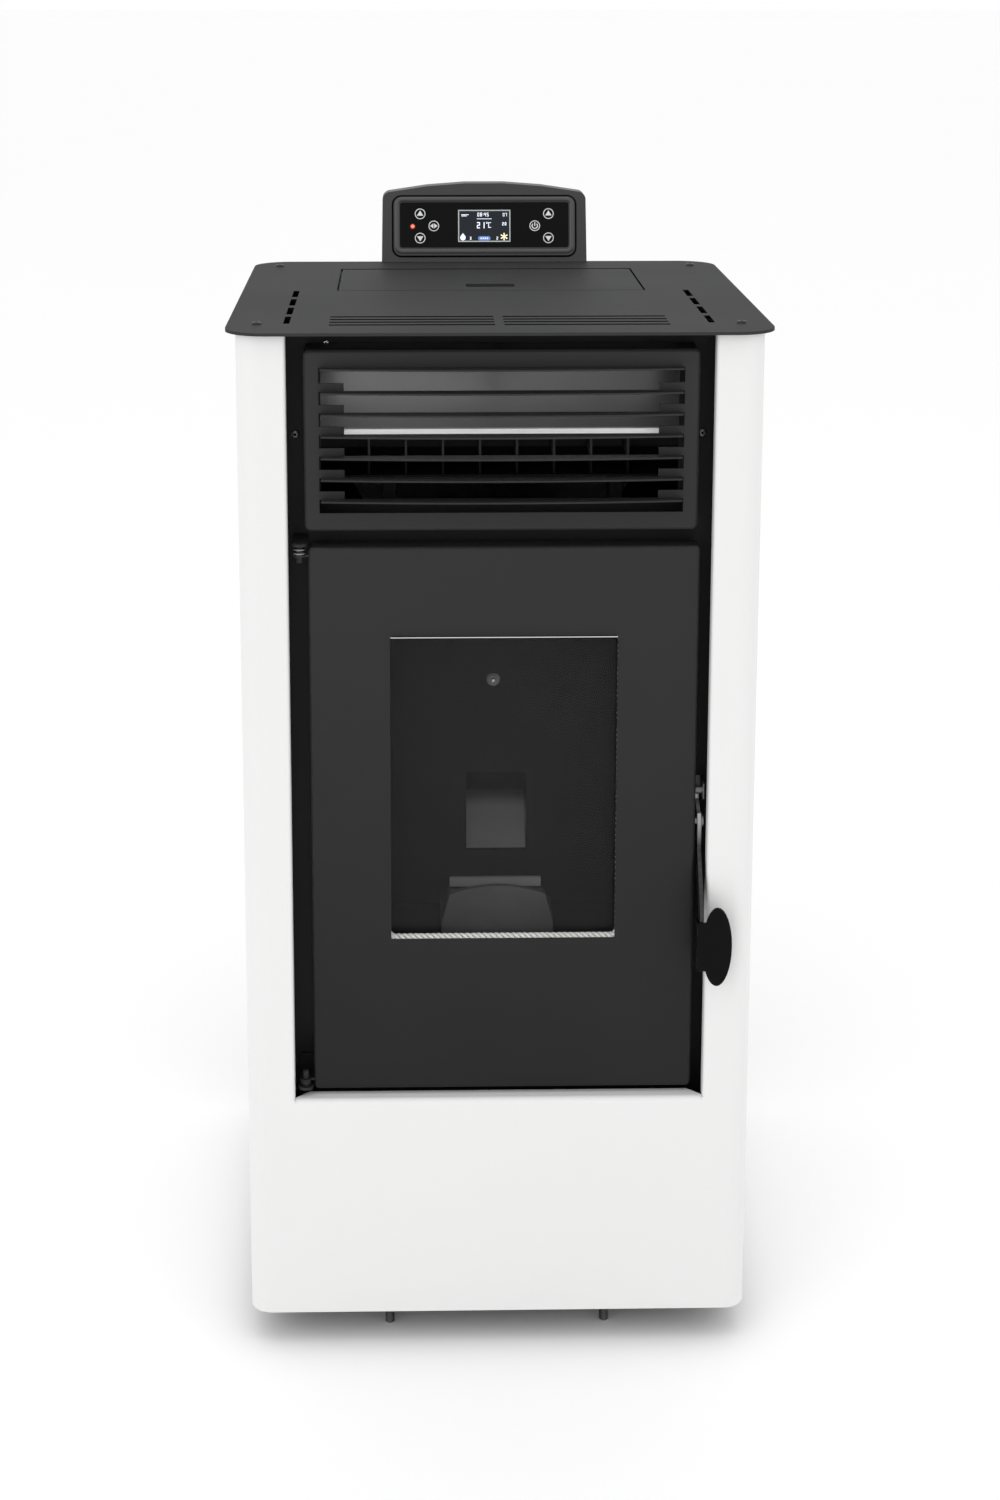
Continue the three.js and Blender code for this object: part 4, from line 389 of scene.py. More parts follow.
# The deflector's colour is painted light: white on the lower lip as a highlight where light falls through the
# top slots, darker above the lip and towards the right as painted shade.
deflector_light_and_shade = Finish("deflector_painted_light_and_shade", Metallic=0.7)
shade_above_lip = deflector_light_and_shade.along("Z", *DEFLECTOR_LIP)
shade_rightward = deflector_light_and_shade.along("X", *DEFLECTOR_SIDES)
streak = deflector_light_and_shade.noise(18.0, 3.0)
deflector_light_and_shade.feed("Base Color", deflector_light_and_shade.blend(shade_above_lip * 0.55 + shade_above_lip * shade_rightward * 0.35 + streak * 0.1,
                                       (1.0, 1.0, 1.0), (0.22, 0.22, 0.225)))
deflector_light_and_shade.feed("Roughness", streak * 0.10 + 0.30)
deflector_light_and_shade.raise_by(deflector_light_and_shade.noise(900.0), 0.00003)
folded("air_deflector", 0.0003, deflector_light_and_shade.material)
# The fins are near black below the line as painted shade under the deflector's lip.
fins = coated("fins_painted_shade", (0.060, 0.060, 0.061), (0.0008, 0.0008, 0.0008), 0.60, 1300.0, 0.00004,
              fade=FIN_SHADE_LINE, Specular_IOR_Level=0.02)
folded("exchanger_outlet", 0.0003, fins)
for side, x in (("left", -FRAME_SCREW_X), ("right", FRAME_SCREW_X)):
    button_screw("frame_screw_" + side, (x, FRAME_SCREW_Y, FRAME_SCREW_Z), (0, -1, 0),
                 FRAME_SCREW_RADIUS, dull_zinc, "body")
button_screw("frame_screw_bright", BRIGHT_SCREW, (0, -1, 0), BRIGHT_SCREW_RADIUS, plated, "body")

# ---------------------------------------------------------------- firebox
# A welded steel box in matt heat paint, dusted with pale ash low down, with a loose fireback and
# shelf. A bolt with a dull zinc head and washer and a bright end clamps the fireback.
BOLT_OUT = 0.0040
ASH_DEEP, ASH_COLOUR = 0.16, (0.30, 0.29, 0.27, 1.0)


def sooted(name, light, dark, roughness, ash_top):
    """Heat paint with a bloom of pale ash that thins out upwards."""
    soot = Finish(name, Specular_IOR_Level=0.2)
    cloud = soot.noise(14.0, 5.0, 0.62)
    fine = soot.noise(700.0, 3.0, 0.6)
    ash = (1.0 - soot.along("Z", ash_top - ASH_DEEP, ash_top)) * soot.noise(9.0, 1.0) * 0.10
    coat = soot.blend(cloud * 0.7 + fine * 0.3, light, dark)
    dusted = soot.node("ShaderNodeMix", {"data_type": "RGBA"}, output=2, i0=ash, i6=coat,
                       i7=ASH_COLOUR)
    soot.feed("Base Color", dusted)
    soot.feed("Roughness", cloud * 0.18 + (roughness - 0.05))
    soot.raise_by(fine, 0.00001, 0.1)
    return soot.material


firebox_paint = sooted("sooted_heat_paint", (0.024, 0.024, 0.0235), (0.017, 0.017, 0.017), 0.62,
                       ash_top=0.50)
folded("firebox", 0.0003, firebox_paint)
folded("fireback_plate", 0.0005, firebox_paint)
folded("pot_shelf", 0.0006, firebox_paint)
low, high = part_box("fireback_bolt")
bolt = Vector(((low.x + high.x) / 2, low.y + BOLT_OUT, (low.z + high.z) / 2))
bolt_washer = [(0.0, 0.0), (0.0070, 0.0), (0.0070, 0.0010), (0.0066, 0.0014), (0.0, 0.0014)]
bolt_head = [(0.0, 0.0014), (0.0056, 0.0014), (0.0058, 0.0019), (0.0058, 0.0028), (0.0054, 0.0032),
             (0.0, 0.0032)]
bolt_end = [(0.0, 0.0032), (0.0024, 0.0032), (0.0024, 0.0046), (0.0016, 0.0054), (0.0, 0.0056)]
turned("fireback_bolt_washer", bolt_washer, bolt, (0, -1, 0), dull_zinc, "body",
       stands_for=("fireback_bolt",))
turned("fireback_bolt_head", bolt_head, bolt, (0, -1, 0), dull_zinc, "body", steps=6)
turned("fireback_bolt_end", bolt_end, bolt, (0, -1, 0), plated, "body", steps=20)

# ---------------------------------------------------------------- burn pot and ash pan
# The pot is a grey-iron casting with a rough skin, its wide foot on the shelf. Its rear rim is pale
# on top, partly as ash and partly as painted light, and near black below as painted shade. The ash
# pan under it is folded from galvanised sheet.
REAR_RIM, REAR_RIM_Z, REAR_RIM_INSET, REAR_RIM_BREAK = (0.096, 0.0068, 0.0120), 0.4215, 0.0035, 0.0010
RIM_SHADE_EDGE = (0.4178, 0.4190)
cast = Finish("cast_iron_skin", Metallic=0.25)
pits = cast.noise(420.0, 5.0, 0.7)
skin = cast.noise(38.0, 4.0, 0.6)
cast.feed("Base Color", cast.blend(skin * 0.6 + pits * 0.4, (0.30, 0.295, 0.29), (0.14, 0.138, 0.135)))
cast.feed("Roughness", pits * 0.22 + 0.50)
cast.raise_by(pits * 0.8 + skin * 0.6, 0.00018)
folded("burn_pot", 0.0008, cast.material, "pot")
rear_rim = bmesh.new()
low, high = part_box("burn_pot")
block(rear_rim, ((low.x + high.x) / 2, high.y - REAR_RIM_INSET, REAR_RIM_Z), REAR_RIM)
bmesh.ops.bevel(rear_rim, geom=rear_rim.edges[:], offset=REAR_RIM_BREAK, segments=2, profile=0.5,
                affect="EDGES", material=-1)
shade(rear_rim)
# Pale on top, partly ash and partly painted light where the rim gets little light; near black below the edge
# as painted shade between it and the pot's front wall.
rim_ash_and_light = Finish("rim_ash_and_painted_light", Specular_IOR_Level=0.3)
grit = rim_ash_and_light.noise(300.0, 3.0, 0.6)
rim_ash_and_light.feed("Base Color", rim_ash_and_light.blend(rim_ash_and_light.along("Z", *RIM_SHADE_EDGE) * 0.8 + grit * 0.2,
                                     (0.012, 0.012, 0.012), (0.80, 0.79, 0.78)))
rim_ash_and_light.feed("Roughness", grit * 0.2 + 0.55)
rim_ash_and_light.raise_by(grit, 0.0001)
kept(rear_rim, "burn_pot_rear_rim", rim_ash_and_light.material, "pot")
folded("ash_pan", 0.0003, galvanised, "ash_drawer")

# ---------------------------------------------------------------- fire door
# A folded steel tray with a window, hung on two ears. Ceramic glass sits on a braided glass-fibre
# seal in a screwed retainer, with a thin bright edge over it, and a rope seal runs round the back.
BRIGHT_EDGE, BRIGHT_EDGE_PLACE = (0.2188, 0.0018, 0.0008), (0.004, -0.2698, 0.7365)
RETAINER_SCREW_INSET, RETAINER_SCREW_END, RETAINER_SCREW_RADIUS = 0.0065, 0.03, 0.0036
# The door and retainer share that black, darker towards the bottom as painted shade.
folded("door_panel", 0.0005, grille_paint, "door")
folded("glass_retainer", 0.0003, grille_paint, "door")
pane = Finish("ceramic_glass", IOR=1.5, Specular_IOR_Level=0.3)
smoke = pane.noise(9.0, 3.0)
pane.feed("Roughness", smoke * 0.03 + 0.02)
pane.feed("Base Color", pane.blend(smoke, (0.030, 0.030, 0.032), (0.018, 0.018, 0.020)))
pane.feed("Alpha", smoke * 0.05 + 0.17)
folded("door_glass", 0.0006, pane.material, "door")

fibre = Finish("braided_glass_fibre", Sheen_Weight=0.4)
lint = fibre.noise(1500.0, 4.0, 0.7)
stain = fibre.noise(30.0, 3.0)
fibre.feed("Base Color", fibre.blend(stain * 0.6 + lint * 0.4, (0.90, 0.89, 0.87), (0.62, 0.61, 0.59)))
fibre.feed("Roughness", lint * 0.12 + 0.82)
fibre.raise_by(lint, 0.00025)


def rope_frame(name, node, wide, thick, lay, body, sag=0.0):
    """A rope of three twisted strands laid round a rectangle, in the space its CAD solid holds.
    Its lower run stands into the opening by the sag."""
    low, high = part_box(node)
    low.z += sag
    turn, strand = min(0.010, wide), min(wide, thick) * 0.215
    inset = wide / 2 + turn
    corners = ((high.x - inset, low.z + inset, -0.5), (high.x - inset, high.z - inset, 0.0),
               (low.x + inset, high.z - inset, 0.5), (low.x + inset, low.z + inset, 1.0))
    path = [Vector((cx + turn * math.cos(angle), (low.y + high.y) / 2, cz + turn * math.sin(angle)))
            for cx, cz, start in corners for angle in ((start + step / 12) * math.pi for step in range(7))]
    path.append(path[0].copy())
    length = sum((after - before).length for before, after in zip(path, path[1:]))
    turns = round(length / lay)
    laid = bpy.data.curves.new(name, "CURVE")
    laid.dimensions = "3D"
    laid.bevel_depth = strand
    laid.bevel_resolution = 1
    splines = [laid.splines.new("POLY") for _ in range(3)]
    for number, spline in enumerate(splines):
        spline.use_cyclic_u = True
        spline.points.add(turns * 10 - 1)
        leg, walked = 0, 0.0
        for step in range(turns * 10):
            at = length * step / (turns * 10)
            while at > walked + (path[leg + 1] - path[leg]).length:
                walked += (path[leg + 1] - path[leg]).length
                leg += 1
            along = (path[leg + 1] - path[leg]).normalized()
            phase = 2 * math.pi * (step / 10 + number / 3)
            out = Vector((0, 1, 0)).cross(along) * (math.cos(phase) * (wide / 2 - strand))
            spline.points[step].co = (*(path[leg] + along * (at - walked) + out
                                        + Vector((0, math.sin(phase) * (thick / 2 - strand), 0))), 1.0)
    drawn = bpy.data.objects.new(name + "_line", laid)
    bpy.context.scene.collection.objects.link(drawn)
    shape = bmesh.new()
    shape.from_mesh(bpy.data.meshes.new_from_object(drawn))
    bpy.data.objects.remove(drawn)
    bmesh.ops.remove_doubles(shape, verts=shape.verts, dist=0.000005)
    bmesh.ops.recalc_face_normals(shape, faces=shape.faces)
    shade(shape, 80.0)
    return kept(shape, name, fibre.material, body, (node,))


rope_frame("glass_seal_braid", "glass_seal", wide=0.0088, thick=0.0118, lay=0.017, body="door",
           sag=0.0028)
rope_frame("door_seal_rope", "door_seal", wide=0.0118, thick=0.0174, lay=0.018, body="door")
bright_edge = bmesh.new()
block(bright_edge, BRIGHT_EDGE_PLACE, BRIGHT_EDGE)
shade(bright_edge)
kept(bright_edge, "window_top_edge", plated, "door")
low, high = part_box("glass_retainer")
pitch = (high.z - low.z - 2 * RETAINER_SCREW_END) / 2
for side, x in (("left", low.x + RETAINER_SCREW_INSET), ("right", high.x - RETAINER_SCREW_INSET)):
    for row in range(3):
        place = (x, high.y, low.z + RETAINER_SCREW_END + row * pitch)
        button_screw("retainer_screw_%s_%d" % (side, row + 1), place, (0, 1, 0), RETAINER_SCREW_RADIUS,
                     plated, "door")

# ---------------------------------------------------------------- door hinges and claw latch
# On the left the door hangs on folded black brackets with pins and dull zinc washers. On the right
# the black lever, painted bright towards its claw as a highlight where its curve faces the light, hooks
# behind a dull zinc keeper. Its grip is an oval black plate.
HINGE_Y, HINGE_WASHERS = -0.265, {"a": 0.8185, "b": 0.8225}
HIGHLIGHT_FROM, HIGHLIGHT_TO = 0.522, 0.566
hinge_washer = [(0.0033, 0.0), (0.0058, 0.0), (0.0061, 0.0004), (0.0061, 0.0012), (0.0058, 0.0016),
                (0.0033, 0.0016), (0.0033, 0.0)]
for node in ("upper_hinge", "lower_hinge"):
    folded(node, 0.0003, black_paint)
hinge_x = sum(corner.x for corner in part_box("upper_hinge")) / 2
for letter, z in HINGE_WASHERS.items():
    turned("upper_hinge_washer_" + letter, hinge_washer, (hinge_x, HINGE_Y, z), (0, 0, 1), dull_zinc,
           "body")
lever_black = coated("lever_black_paint", (0.0045, 0.0045, 0.005), (0.003, 0.003, 0.0035), 0.36, 1300.0,
                     0.00004, worn=(0.05, 0.05, 0.05), Specular_IOR_Level=0.06)
# The lever's upper part is painted bright as a highlight where its curve faces the light; below it is black.
wear_and_highlight = Finish("lever_painted_highlight", Metallic=0.6)
brushed = wear_and_highlight.noise(240.0, 3.0)
wear_and_highlight.feed("Base Color", wear_and_highlight.blend(wear_and_highlight.along("Z", HIGHLIGHT_FROM, HIGHLIGHT_TO) * 0.9 + brushed * 0.1,
                                       (0.004, 0.004, 0.0045), (0.62, 0.62, 0.63)))
wear_and_highlight.feed("Roughness", brushed * 0.12 + 0.32)
wear_and_highlight.raise_by(brushed, 0.00002)
folded("latch_lever", 0.0005, wear_and_highlight.material, "latch")
folded("latch_grip", 0.0008, lever_black, "latch", steps=3)
folded("latch_pivot", 0.0004, dull_zinc, "door")
folded("latch_keeper", 0.0004, dull_zinc)

# ---------------------------------------------------------------- control panel
# A moulded black housing that leans back, with a rounded bead round a gloss overlay and a near-black
# line round the bead as painted shade for a groove.
# The round keys have printed rings and arrows, and a red lamp stands beside them. Sizes on the panel
# are taken along and up its face, from the middle of its foot.
PANEL_FOOT, PANEL_LEAN = (0.0, 0.252, 1.0353), math.radians(10)
KEY_FACE = -0.0031
OUTER_KEY_X, INNER_KEY_X, UPPER_KEY_Z, MIDDLE_KEY_Z, LOWER_KEY_Z = 0.0732, 0.0576, 0.0547, 0.0409, 0.0271
CAP_RADIUS, CAP_THICK, CAP_BREAK = 0.0066, 0.0022, 0.0004
PRINT_RADIUS, PRINT_PEN = 0.0056, 0.0009
ARROW_HALF_WIDE, ARROW_FOOT, ARROW_TIP = 0.0037, 0.0021, 0.0038
SIDE_ARROW_TIP, SIDE_ARROW_FOOT, SIDE_ARROW_HALF = 0.0044, 0.0004, 0.0029
POWER_RADIUS, POWER_PEN, POWER_BAR_TOP = 0.0031, 0.0012, 0.0040
LAMP_X, LAMP_AHEAD, LAMP_Z, LAMP_RADIUS = -0.0817, -0.0023, 0.0405, 0.0020
BEAD = {"x": 0.0998, "z0": 0.0120, "z1": 0.0712, "radius": 0.0062}
BEZEL_SHADE = {"x": 0.1046, "z0": 0.0062, "z1": 0.0754, "radius": 0.0100}
moulded = coated("moulded_black_plastic", (0.032, 0.032, 0.033), (0.027, 0.027, 0.028), 0.46, 1100.0,
                 0.00008)
gloss = coated("gloss_black_overlay", (0.0035, 0.0035, 0.004), (0.0025, 0.0025, 0.003), 0.18, 500.0,
               0.00001, Specular_IOR_Level=0.08)
printed = coated("pale_print", (0.86, 0.87, 0.88), (0.78, 0.79, 0.80), 0.5, 900.0, 0.00001)
folded("control_housing", 0.0012, moulded, steps=3)
folded("control_overlay", 0.0003, gloss)
panel = Matrix.Translation(PANEL_FOOT) @ Matrix.Rotation(-PANEL_LEAN, 4, "X")


def glowing(name, colour, strength):
    """A lit patch of the display: it gives its own light and is a little uneven."""
    lit = Finish(name, Roughness=0.3, Emission_Strength=strength)
    uneven = lit.noise(160.0, 2.0)
    lit.feed("Base Color", lit.blend(uneven, colour, tuple(part * 0.8 for part in colour)))
    lit.feed("Emission Color", lit.blend(uneven, colour, tuple(part * 0.85 for part in colour)))
    return lit.material


def patch(shape, points, y, thick=0.00012):
    """A thin raised patch of print or light on the panel, from its outline."""
    outline = [shape.verts.new((x, y, z)) for x, z in points]
    face = shape.faces.new(outline)
    face.normal_update()
    if face.normal.y > 0:
        face.normal_flip()
    grown = bmesh.ops.extrude_face_region(shape, geom=[face])
    moved = [item for item in grown["geom"] if isinstance(item, bmesh.types.BMVert)]
    bmesh.ops.translate(shape, verts=moved, vec=(0, -thick, 0))


def oblong(x0, x1, z0, z1):
    """The four corners of an upright rectangle."""
    return [(x0, z0), (x1, z0), (x1, z1), (x0, z1)]


def arc(x, z, wide, tall, start, sweep, steps):
    """Points on a part of an ellipse about (x, z), turned through in radians."""
    return [(x + wide * math.cos(angle), z + tall * math.sin(angle))
            for angle in (start + n * sweep / steps for n in range(steps + 1))]


def band(shape, x, z, radius, width, y, start=0.0, end=1.0, steps=28):
    """A printed ring, or a part of one."""
    count = max(3, round(steps * (end - start)))
    inner, outer = radius - width / 2, radius + width / 2
    for n in range(count):
        a, b = (2 * math.pi * (start + (end - start) * part / count) for part in (n, n + 1))
        patch(shape, [(x + reach * math.cos(angle), z + reach * math.sin(angle))
                      for reach, angle in ((inner, a), (outer, a), (outer, b), (inner, b))], y)


def on_panel(shape, name, material, body, stands_for=()):
    """Makes a piece that was laid out flat, leaning back with the panel."""
    bmesh.ops.remove_doubles(shape, verts=shape.verts, dist=0.000003)
    bmesh.ops.recalc_face_normals(shape, faces=shape.faces)
    bmesh.ops.transform(shape, matrix=panel, verts=shape.verts)
    return kept(shape, name, material, body, stands_for)


def rounded_frame(shape, x, z0, z1, radius, profile):
    """A rounded rectangle, x to each side, swept with a closed profile of (outward, forward) points."""
    corners = ((x - radius, z1 - radius, 0.0), (radius - x, z1 - radius, 0.5),
               (radius - x, z0 + radius, 1.0), (x - radius, z0 + radius, 1.5))
    loops = []
    for cx, cz, start in corners:
        for angle in ((start + step / 16) * math.pi for step in range(9)):
            loops.append([shape.verts.new((cx + (radius + out) * math.cos(angle), -ahead,
                                           cz + (radius + out) * math.sin(angle)))
                          for out, ahead in profile])
    for first, second in zip(loops, loops[1:] + loops[:1]):
        for n in range(len(profile)):
            m = (n + 1) % len(profile)
            shape.faces.new((first[n], first[m], second[m], second[n]))


bead = bmesh.new()
rounded_frame(bead, profile=arc(0.0, 0.0029, 0.0026, 0.0011, 0.0, math.pi, 8), **BEAD)
shade(bead, 60.0)
rim_gloss = coated("rim_satin_plastic", (0.060, 0.060, 0.061), (0.050, 0.050, 0.051), 0.30, 1100.0, 0.00002)
on_panel(bead, "bezel_bead", rim_gloss, "body")
# A thin near-black strip round the bead: painted shade standing in for a groove.
bezel_shade = bmesh.new()
rounded_frame(bezel_shade, profile=oblong(-0.0011, 0.0009, -0.0003, 0.0002), **BEZEL_SHADE)
shade(bezel_shade)
on_panel(bezel_shade, "bezel_painted_shade", shade_black, "body")

keys = {"key_up_left": (-OUTER_KEY_X, UPPER_KEY_Z), "key_down_left": (-OUTER_KEY_X, LOWER_KEY_Z),
        "key_set": (-INNER_KEY_X, MIDDLE_KEY_Z), "key_up_right": (OUTER_KEY_X, UPPER_KEY_Z),
        "key_down_right": (OUTER_KEY_X, LOWER_KEY_Z), "key_power": (INNER_KEY_X, MIDDLE_KEY_Z)}
for node, (x, z) in keys.items():
    cap = bmesh.new()
    bmesh.ops.create_circle(cap, cap_ends=True, radius=CAP_RADIUS, segments=40)
    crown = bmesh.ops.extrude_face_region(cap, geom=cap.faces[:])
    bmesh.ops.translate(cap, verts=[v for v in crown["geom"] if isinstance(v, bmesh.types.BMVert)],
                        vec=(0, 0, CAP_THICK))
    cap_edge = [e for e in cap.edges
                if e.is_manifold and e.calc_face_angle(0.0) > 1.0 and e.verts[0].co.z > CAP_THICK / 2]
    bmesh.ops.bevel(cap, geom=cap_edge, offset=CAP_BREAK, segments=3, profile=0.5, affect="EDGES",
                    material=-1)
    bmesh.ops.transform(cap, matrix=Matrix.Translation((x, KEY_FACE + CAP_THICK, z))
                        @ Matrix.Rotation(math.pi / 2, 4, "X"), verts=cap.verts)
    shade(cap, 50.0)
    on_panel(cap, node + "_cap", gloss, node + "_body", (node,))
    mark = bmesh.new()
    band(mark, x, z, PRINT_RADIUS, PRINT_PEN, KEY_FACE)
    if "up" in node or "down" in node:
        way = 1 if "up" in node else -1
        patch(mark, [(x - ARROW_HALF_WIDE, z - way * ARROW_FOOT), (x + ARROW_HALF_WIDE, z - way * ARROW_FOOT),
                     (x, z + way * ARROW_TIP)], KEY_FACE)
    elif node == "key_set":
        for way in (-1, 1):
            foot = x + way * SIDE_ARROW_FOOT
            patch(mark, [(x + way * SIDE_ARROW_TIP, z), (foot, z - SIDE_ARROW_HALF),
                         (foot, z + SIDE_ARROW_HALF)], KEY_FACE)
    else:
        band(mark, x, z, POWER_RADIUS, POWER_PEN, KEY_FACE, 0.37, 1.13)
        patch(mark, oblong(x - POWER_PEN / 2, x + POWER_PEN / 2, z - 0.0004, z + POWER_BAR_TOP), KEY_FACE)
    on_panel(mark, node + "_print", printed, node + "_body")

lamp = bmesh.new()
bmesh.ops.create_uvsphere(lamp, u_segments=20, v_segments=10, radius=LAMP_RADIUS)
bmesh.ops.scale(lamp, vec=(1, 0.5, 1), verts=lamp.verts)
bmesh.ops.translate(lamp, vec=(LAMP_X, LAMP_AHEAD, LAMP_Z), verts=lamp.verts)
shade(lamp, 90.0)
on_panel(lamp, "status_lamp", glowing("red_lamp", (1.0, 0.10, 0.06), 3.0), "body")
halo = bmesh.new()
band(halo, LAMP_X, LAMP_Z, 0.0029, 0.0007, LAMP_AHEAD)
halo_red = coated("lamp_ring_red", (0.20, 0.02, 0.018), (0.14, 0.015, 0.012), 0.4, 900.0, 0.00001)
on_panel(halo, "status_lamp_ring", halo_red, "body")

# ---------------------------------------------------------------- lit display
# A small colour display set in the overlay: the time, the room temperature, set values, a drop for
# the fire, a pill and a star for the fan. Its figures are made of seven bars.
BORDER_HALF_WIDE, BORDER_LOW, BORDER_HIGH, BORDER_PEN = 0.0298, 0.0228, 0.0592, 0.0012
SMALL_PEN, THIN_LINE = 0.0006, 0.0007
TEMPERATURE_Z, TEMPERATURE_TALL = 0.0382, 0.0070
PILL_HALF, PILL_Z, PILL_ROUND = 0.0048, 0.0268, 0.0024
DROP_X, DROP_TIP_Z, DROP_Z = -0.0244, 0.0328, 0.0276
STAR_X, STAR_Z, STAR_REACH = 0.0226, 0.0286, 0.0042
screen = coated("display_glass", (0.016, 0.021, 0.028), (0.012, 0.016, 0.022), 0.14, 700.0, 0.00001,
                Specular_IOR_Level=0.2)
folded("display_screen", 0.0002, screen)
FACE = -0.0015
border = bmesh.new()
above, below = BORDER_HIGH - BORDER_PEN, BORDER_LOW + BORDER_PEN
for side in (oblong(-BORDER_HALF_WIDE, BORDER_HALF_WIDE, above, BORDER_HIGH),
             oblong(-BORDER_HALF_WIDE, BORDER_HALF_WIDE, BORDER_LOW, below),
             oblong(-BORDER_HALF_WIDE, BORDER_PEN - BORDER_HALF_WIDE, below, above),
             oblong(BORDER_HALF_WIDE - BORDER_PEN, BORDER_HALF_WIDE, below, above)):
    patch(border, side, FACE)
border_light = glowing("display_border_light", (0.50, 0.53, 0.52), 0.25)
on_panel(border, "display_border", border_light, "body")

SEGMENTS = {"0": "abcdef", "1": "bc", "2": "abged", "3": "abgcd", "4": "fgbc", "5": "afgcd", "6": "afgedc",
            "7": "abc", "8": "abcdefg", "9": "abfgcd"}


def figures(shape, text, x, z, tall, pen):
    """Plain seven-bar figures, left to right from x."""
    wide = tall * 0.50
    for sign in text:
        if sign == ":":
            for up in (0.30, 0.70):
                patch(shape, oblong(x, x + pen, z + tall * up - pen / 2, z + tall * up + pen / 2), FACE)
            x += pen * 2.2
            continue
        half, top, right = z + tall / 2, z + tall, x + wide
        bars = {"a": oblong(x, right, top - pen, top), "d": oblong(x, right, z, z + pen),
                "g": oblong(x + pen * 0.2, right - pen * 0.2, half - pen / 2, half + pen / 2),
                "f": oblong(x, x + pen, half, top), "b": oblong(right - pen, right, half, top),
                "e": oblong(x, x + pen, z, half), "c": oblong(right - pen, right, z, half)}
        for n, bar in enumerate(SEGMENTS[sign]):
            patch(shape, bars[bar], FACE - n * 0.000004)
        x += wide + pen * 1.7
    return x


bright = bmesh.new()
for text, x, z, tall, pen in (("08:45", -0.0078, 0.0518, 0.0042, SMALL_PEN),
                              ("20", 0.0205, 0.0415, 0.0036, SMALL_PEN),
                              ("3", -0.0165, 0.0252, 0.0034, SMALL_PEN),
                              ("2", 0.0140, 0.0252, 0.0034, SMALL_PEN),
                              ("07", 0.0212, 0.0518, 0.0038, 0.0005)):
    figures(bright, text, x, z, tall, pen)
end = figures(bright, "21", -0.0084, TEMPERATURE_Z, TEMPERATURE_TALL, 0.0010)
band(bright, end + 0.0010, 0.0445, 0.0008, 0.0005, FACE, steps=12)
letter_x, letter_low, letter_high = end + 0.0033, 0.0388, 0.0450
patch(bright, oblong(letter_x - THIN_LINE, letter_x, letter_low, letter_high), FACE)
for z in (letter_high - THIN_LINE, letter_low):
    patch(bright, oblong(letter_x, letter_x + 0.0025, z, z + THIN_LINE), FACE)
patch(bright, oblong(-0.0262, -0.0178, 0.0534, 0.0534 + THIN_LINE), FACE)
patch(bright, oblong(-0.0262, -0.0200, 0.0520, 0.0520 + THIN_LINE), FACE)
patch(bright, oblong(-0.0085, 0.0085, 0.0487, 0.0493), FACE)
on_panel(bright, "display_figures", glowing("display_white", (0.78, 0.83, 0.95), 0.9), "body")
pill = bmesh.new()
patch(pill, arc(-PILL_HALF, PILL_Z, PILL_ROUND, PILL_ROUND, math.pi / 2, math.pi, 8)
      + arc(PILL_HALF, PILL_Z, PILL_ROUND, PILL_ROUND, -math.pi / 2, math.pi, 8), FACE)
on_panel(pill, "display_pill", glowing("display_blue", (0.12, 0.20, 0.50), 0.6), "body")
pill_bars = bmesh.new()
for x in (-0.0036, -0.0012, 0.0012, 0.0036):
    patch(pill_bars, oblong(x - 0.0008, x + 0.0008, PILL_Z - 0.0009, PILL_Z + 0.0009), FACE - 0.0002)
pill_light = glowing("display_pill_light", (0.62, 0.72, 0.95), 0.8)
on_panel(pill_bars, "display_pill_bars", pill_light, "body")
drop = bmesh.new()
patch(drop, [(DROP_X, DROP_TIP_Z)] + arc(DROP_X, DROP_Z, 0.0031, 0.0033, math.pi * 0.80, math.pi * 1.40, 12),
      FACE)
on_panel(drop, "display_drop", glowing("display_pale_blue", (0.66, 0.72, 0.92), 0.9), "body")
star = bmesh.new()
for n in range(6):
    angle = math.pi / 2 + n * math.pi / 3
    ax, az = math.cos(angle), math.sin(angle)
    arm = [(0.0, -0.0005), (0.0, 0.0005), (STAR_REACH, 0.0008), (STAR_REACH, -0.0008)]
    patch(star, [(STAR_X + ax * out + az * across, STAR_Z + az * out - ax * across) for out, across in arm],
          FACE - n * 0.00001)
on_panel(star, "display_star", glowing("display_cream", (0.90, 0.82, 0.52), 0.8), "body")

# ---------------------------------------------------------------- hopper, lid hinges and feed
# Folded galvanised hopper with a bar guard and spot-welded hinge lugs, and the inclined auger in its
# tube with a gear motor at the low end. The chute's sheet is grey low down as painted light on its
# lit slope, and near black above as painted shade.
CHUTE_SHADE_LINE = (0.484, 0.499)
for node in ("hopper", "hopper_guard", "lid_hinge_left", "lid_hinge_right", "auger_tube"):
    folded(node, 0.0003, galvanised)
# Grey below the line as painted light on the lit slope, near black above as painted shade; the noise only
# mottles it.
chute_light_and_shade = Finish("chute_painted_light_and_shade", Metallic=0.3, Specular_IOR_Level=0.2)
chute_mottle = chute_light_and_shade.noise(60.0, 4.0, 0.6)
chute_light_and_shade.feed("Base Color", chute_light_and_shade.blend(chute_light_and_shade.along("Z", *CHUTE_SHADE_LINE) * 0.9 + chute_mottle * 0.1,
                                     (0.46, 0.455, 0.45), (0.012, 0.012, 0.012)))
chute_light_and_shade.feed("Roughness", chute_mottle * 0.15 + 0.55)
chute_light_and_shade.raise_by(chute_mottle, 0.00004)
folded("pellet_chute", 0.0003, chute_light_and_shade.material)
folded("auger_screw", 0.0, plated, "auger")
motor_enamel = coated("motor_black_enamel", (0.050, 0.050, 0.053), (0.036, 0.036, 0.038), 0.34, 900.0,
                      0.00005, worn=(0.25, 0.25, 0.26))
folded("auger_motor", 0.0010, motor_enamel)

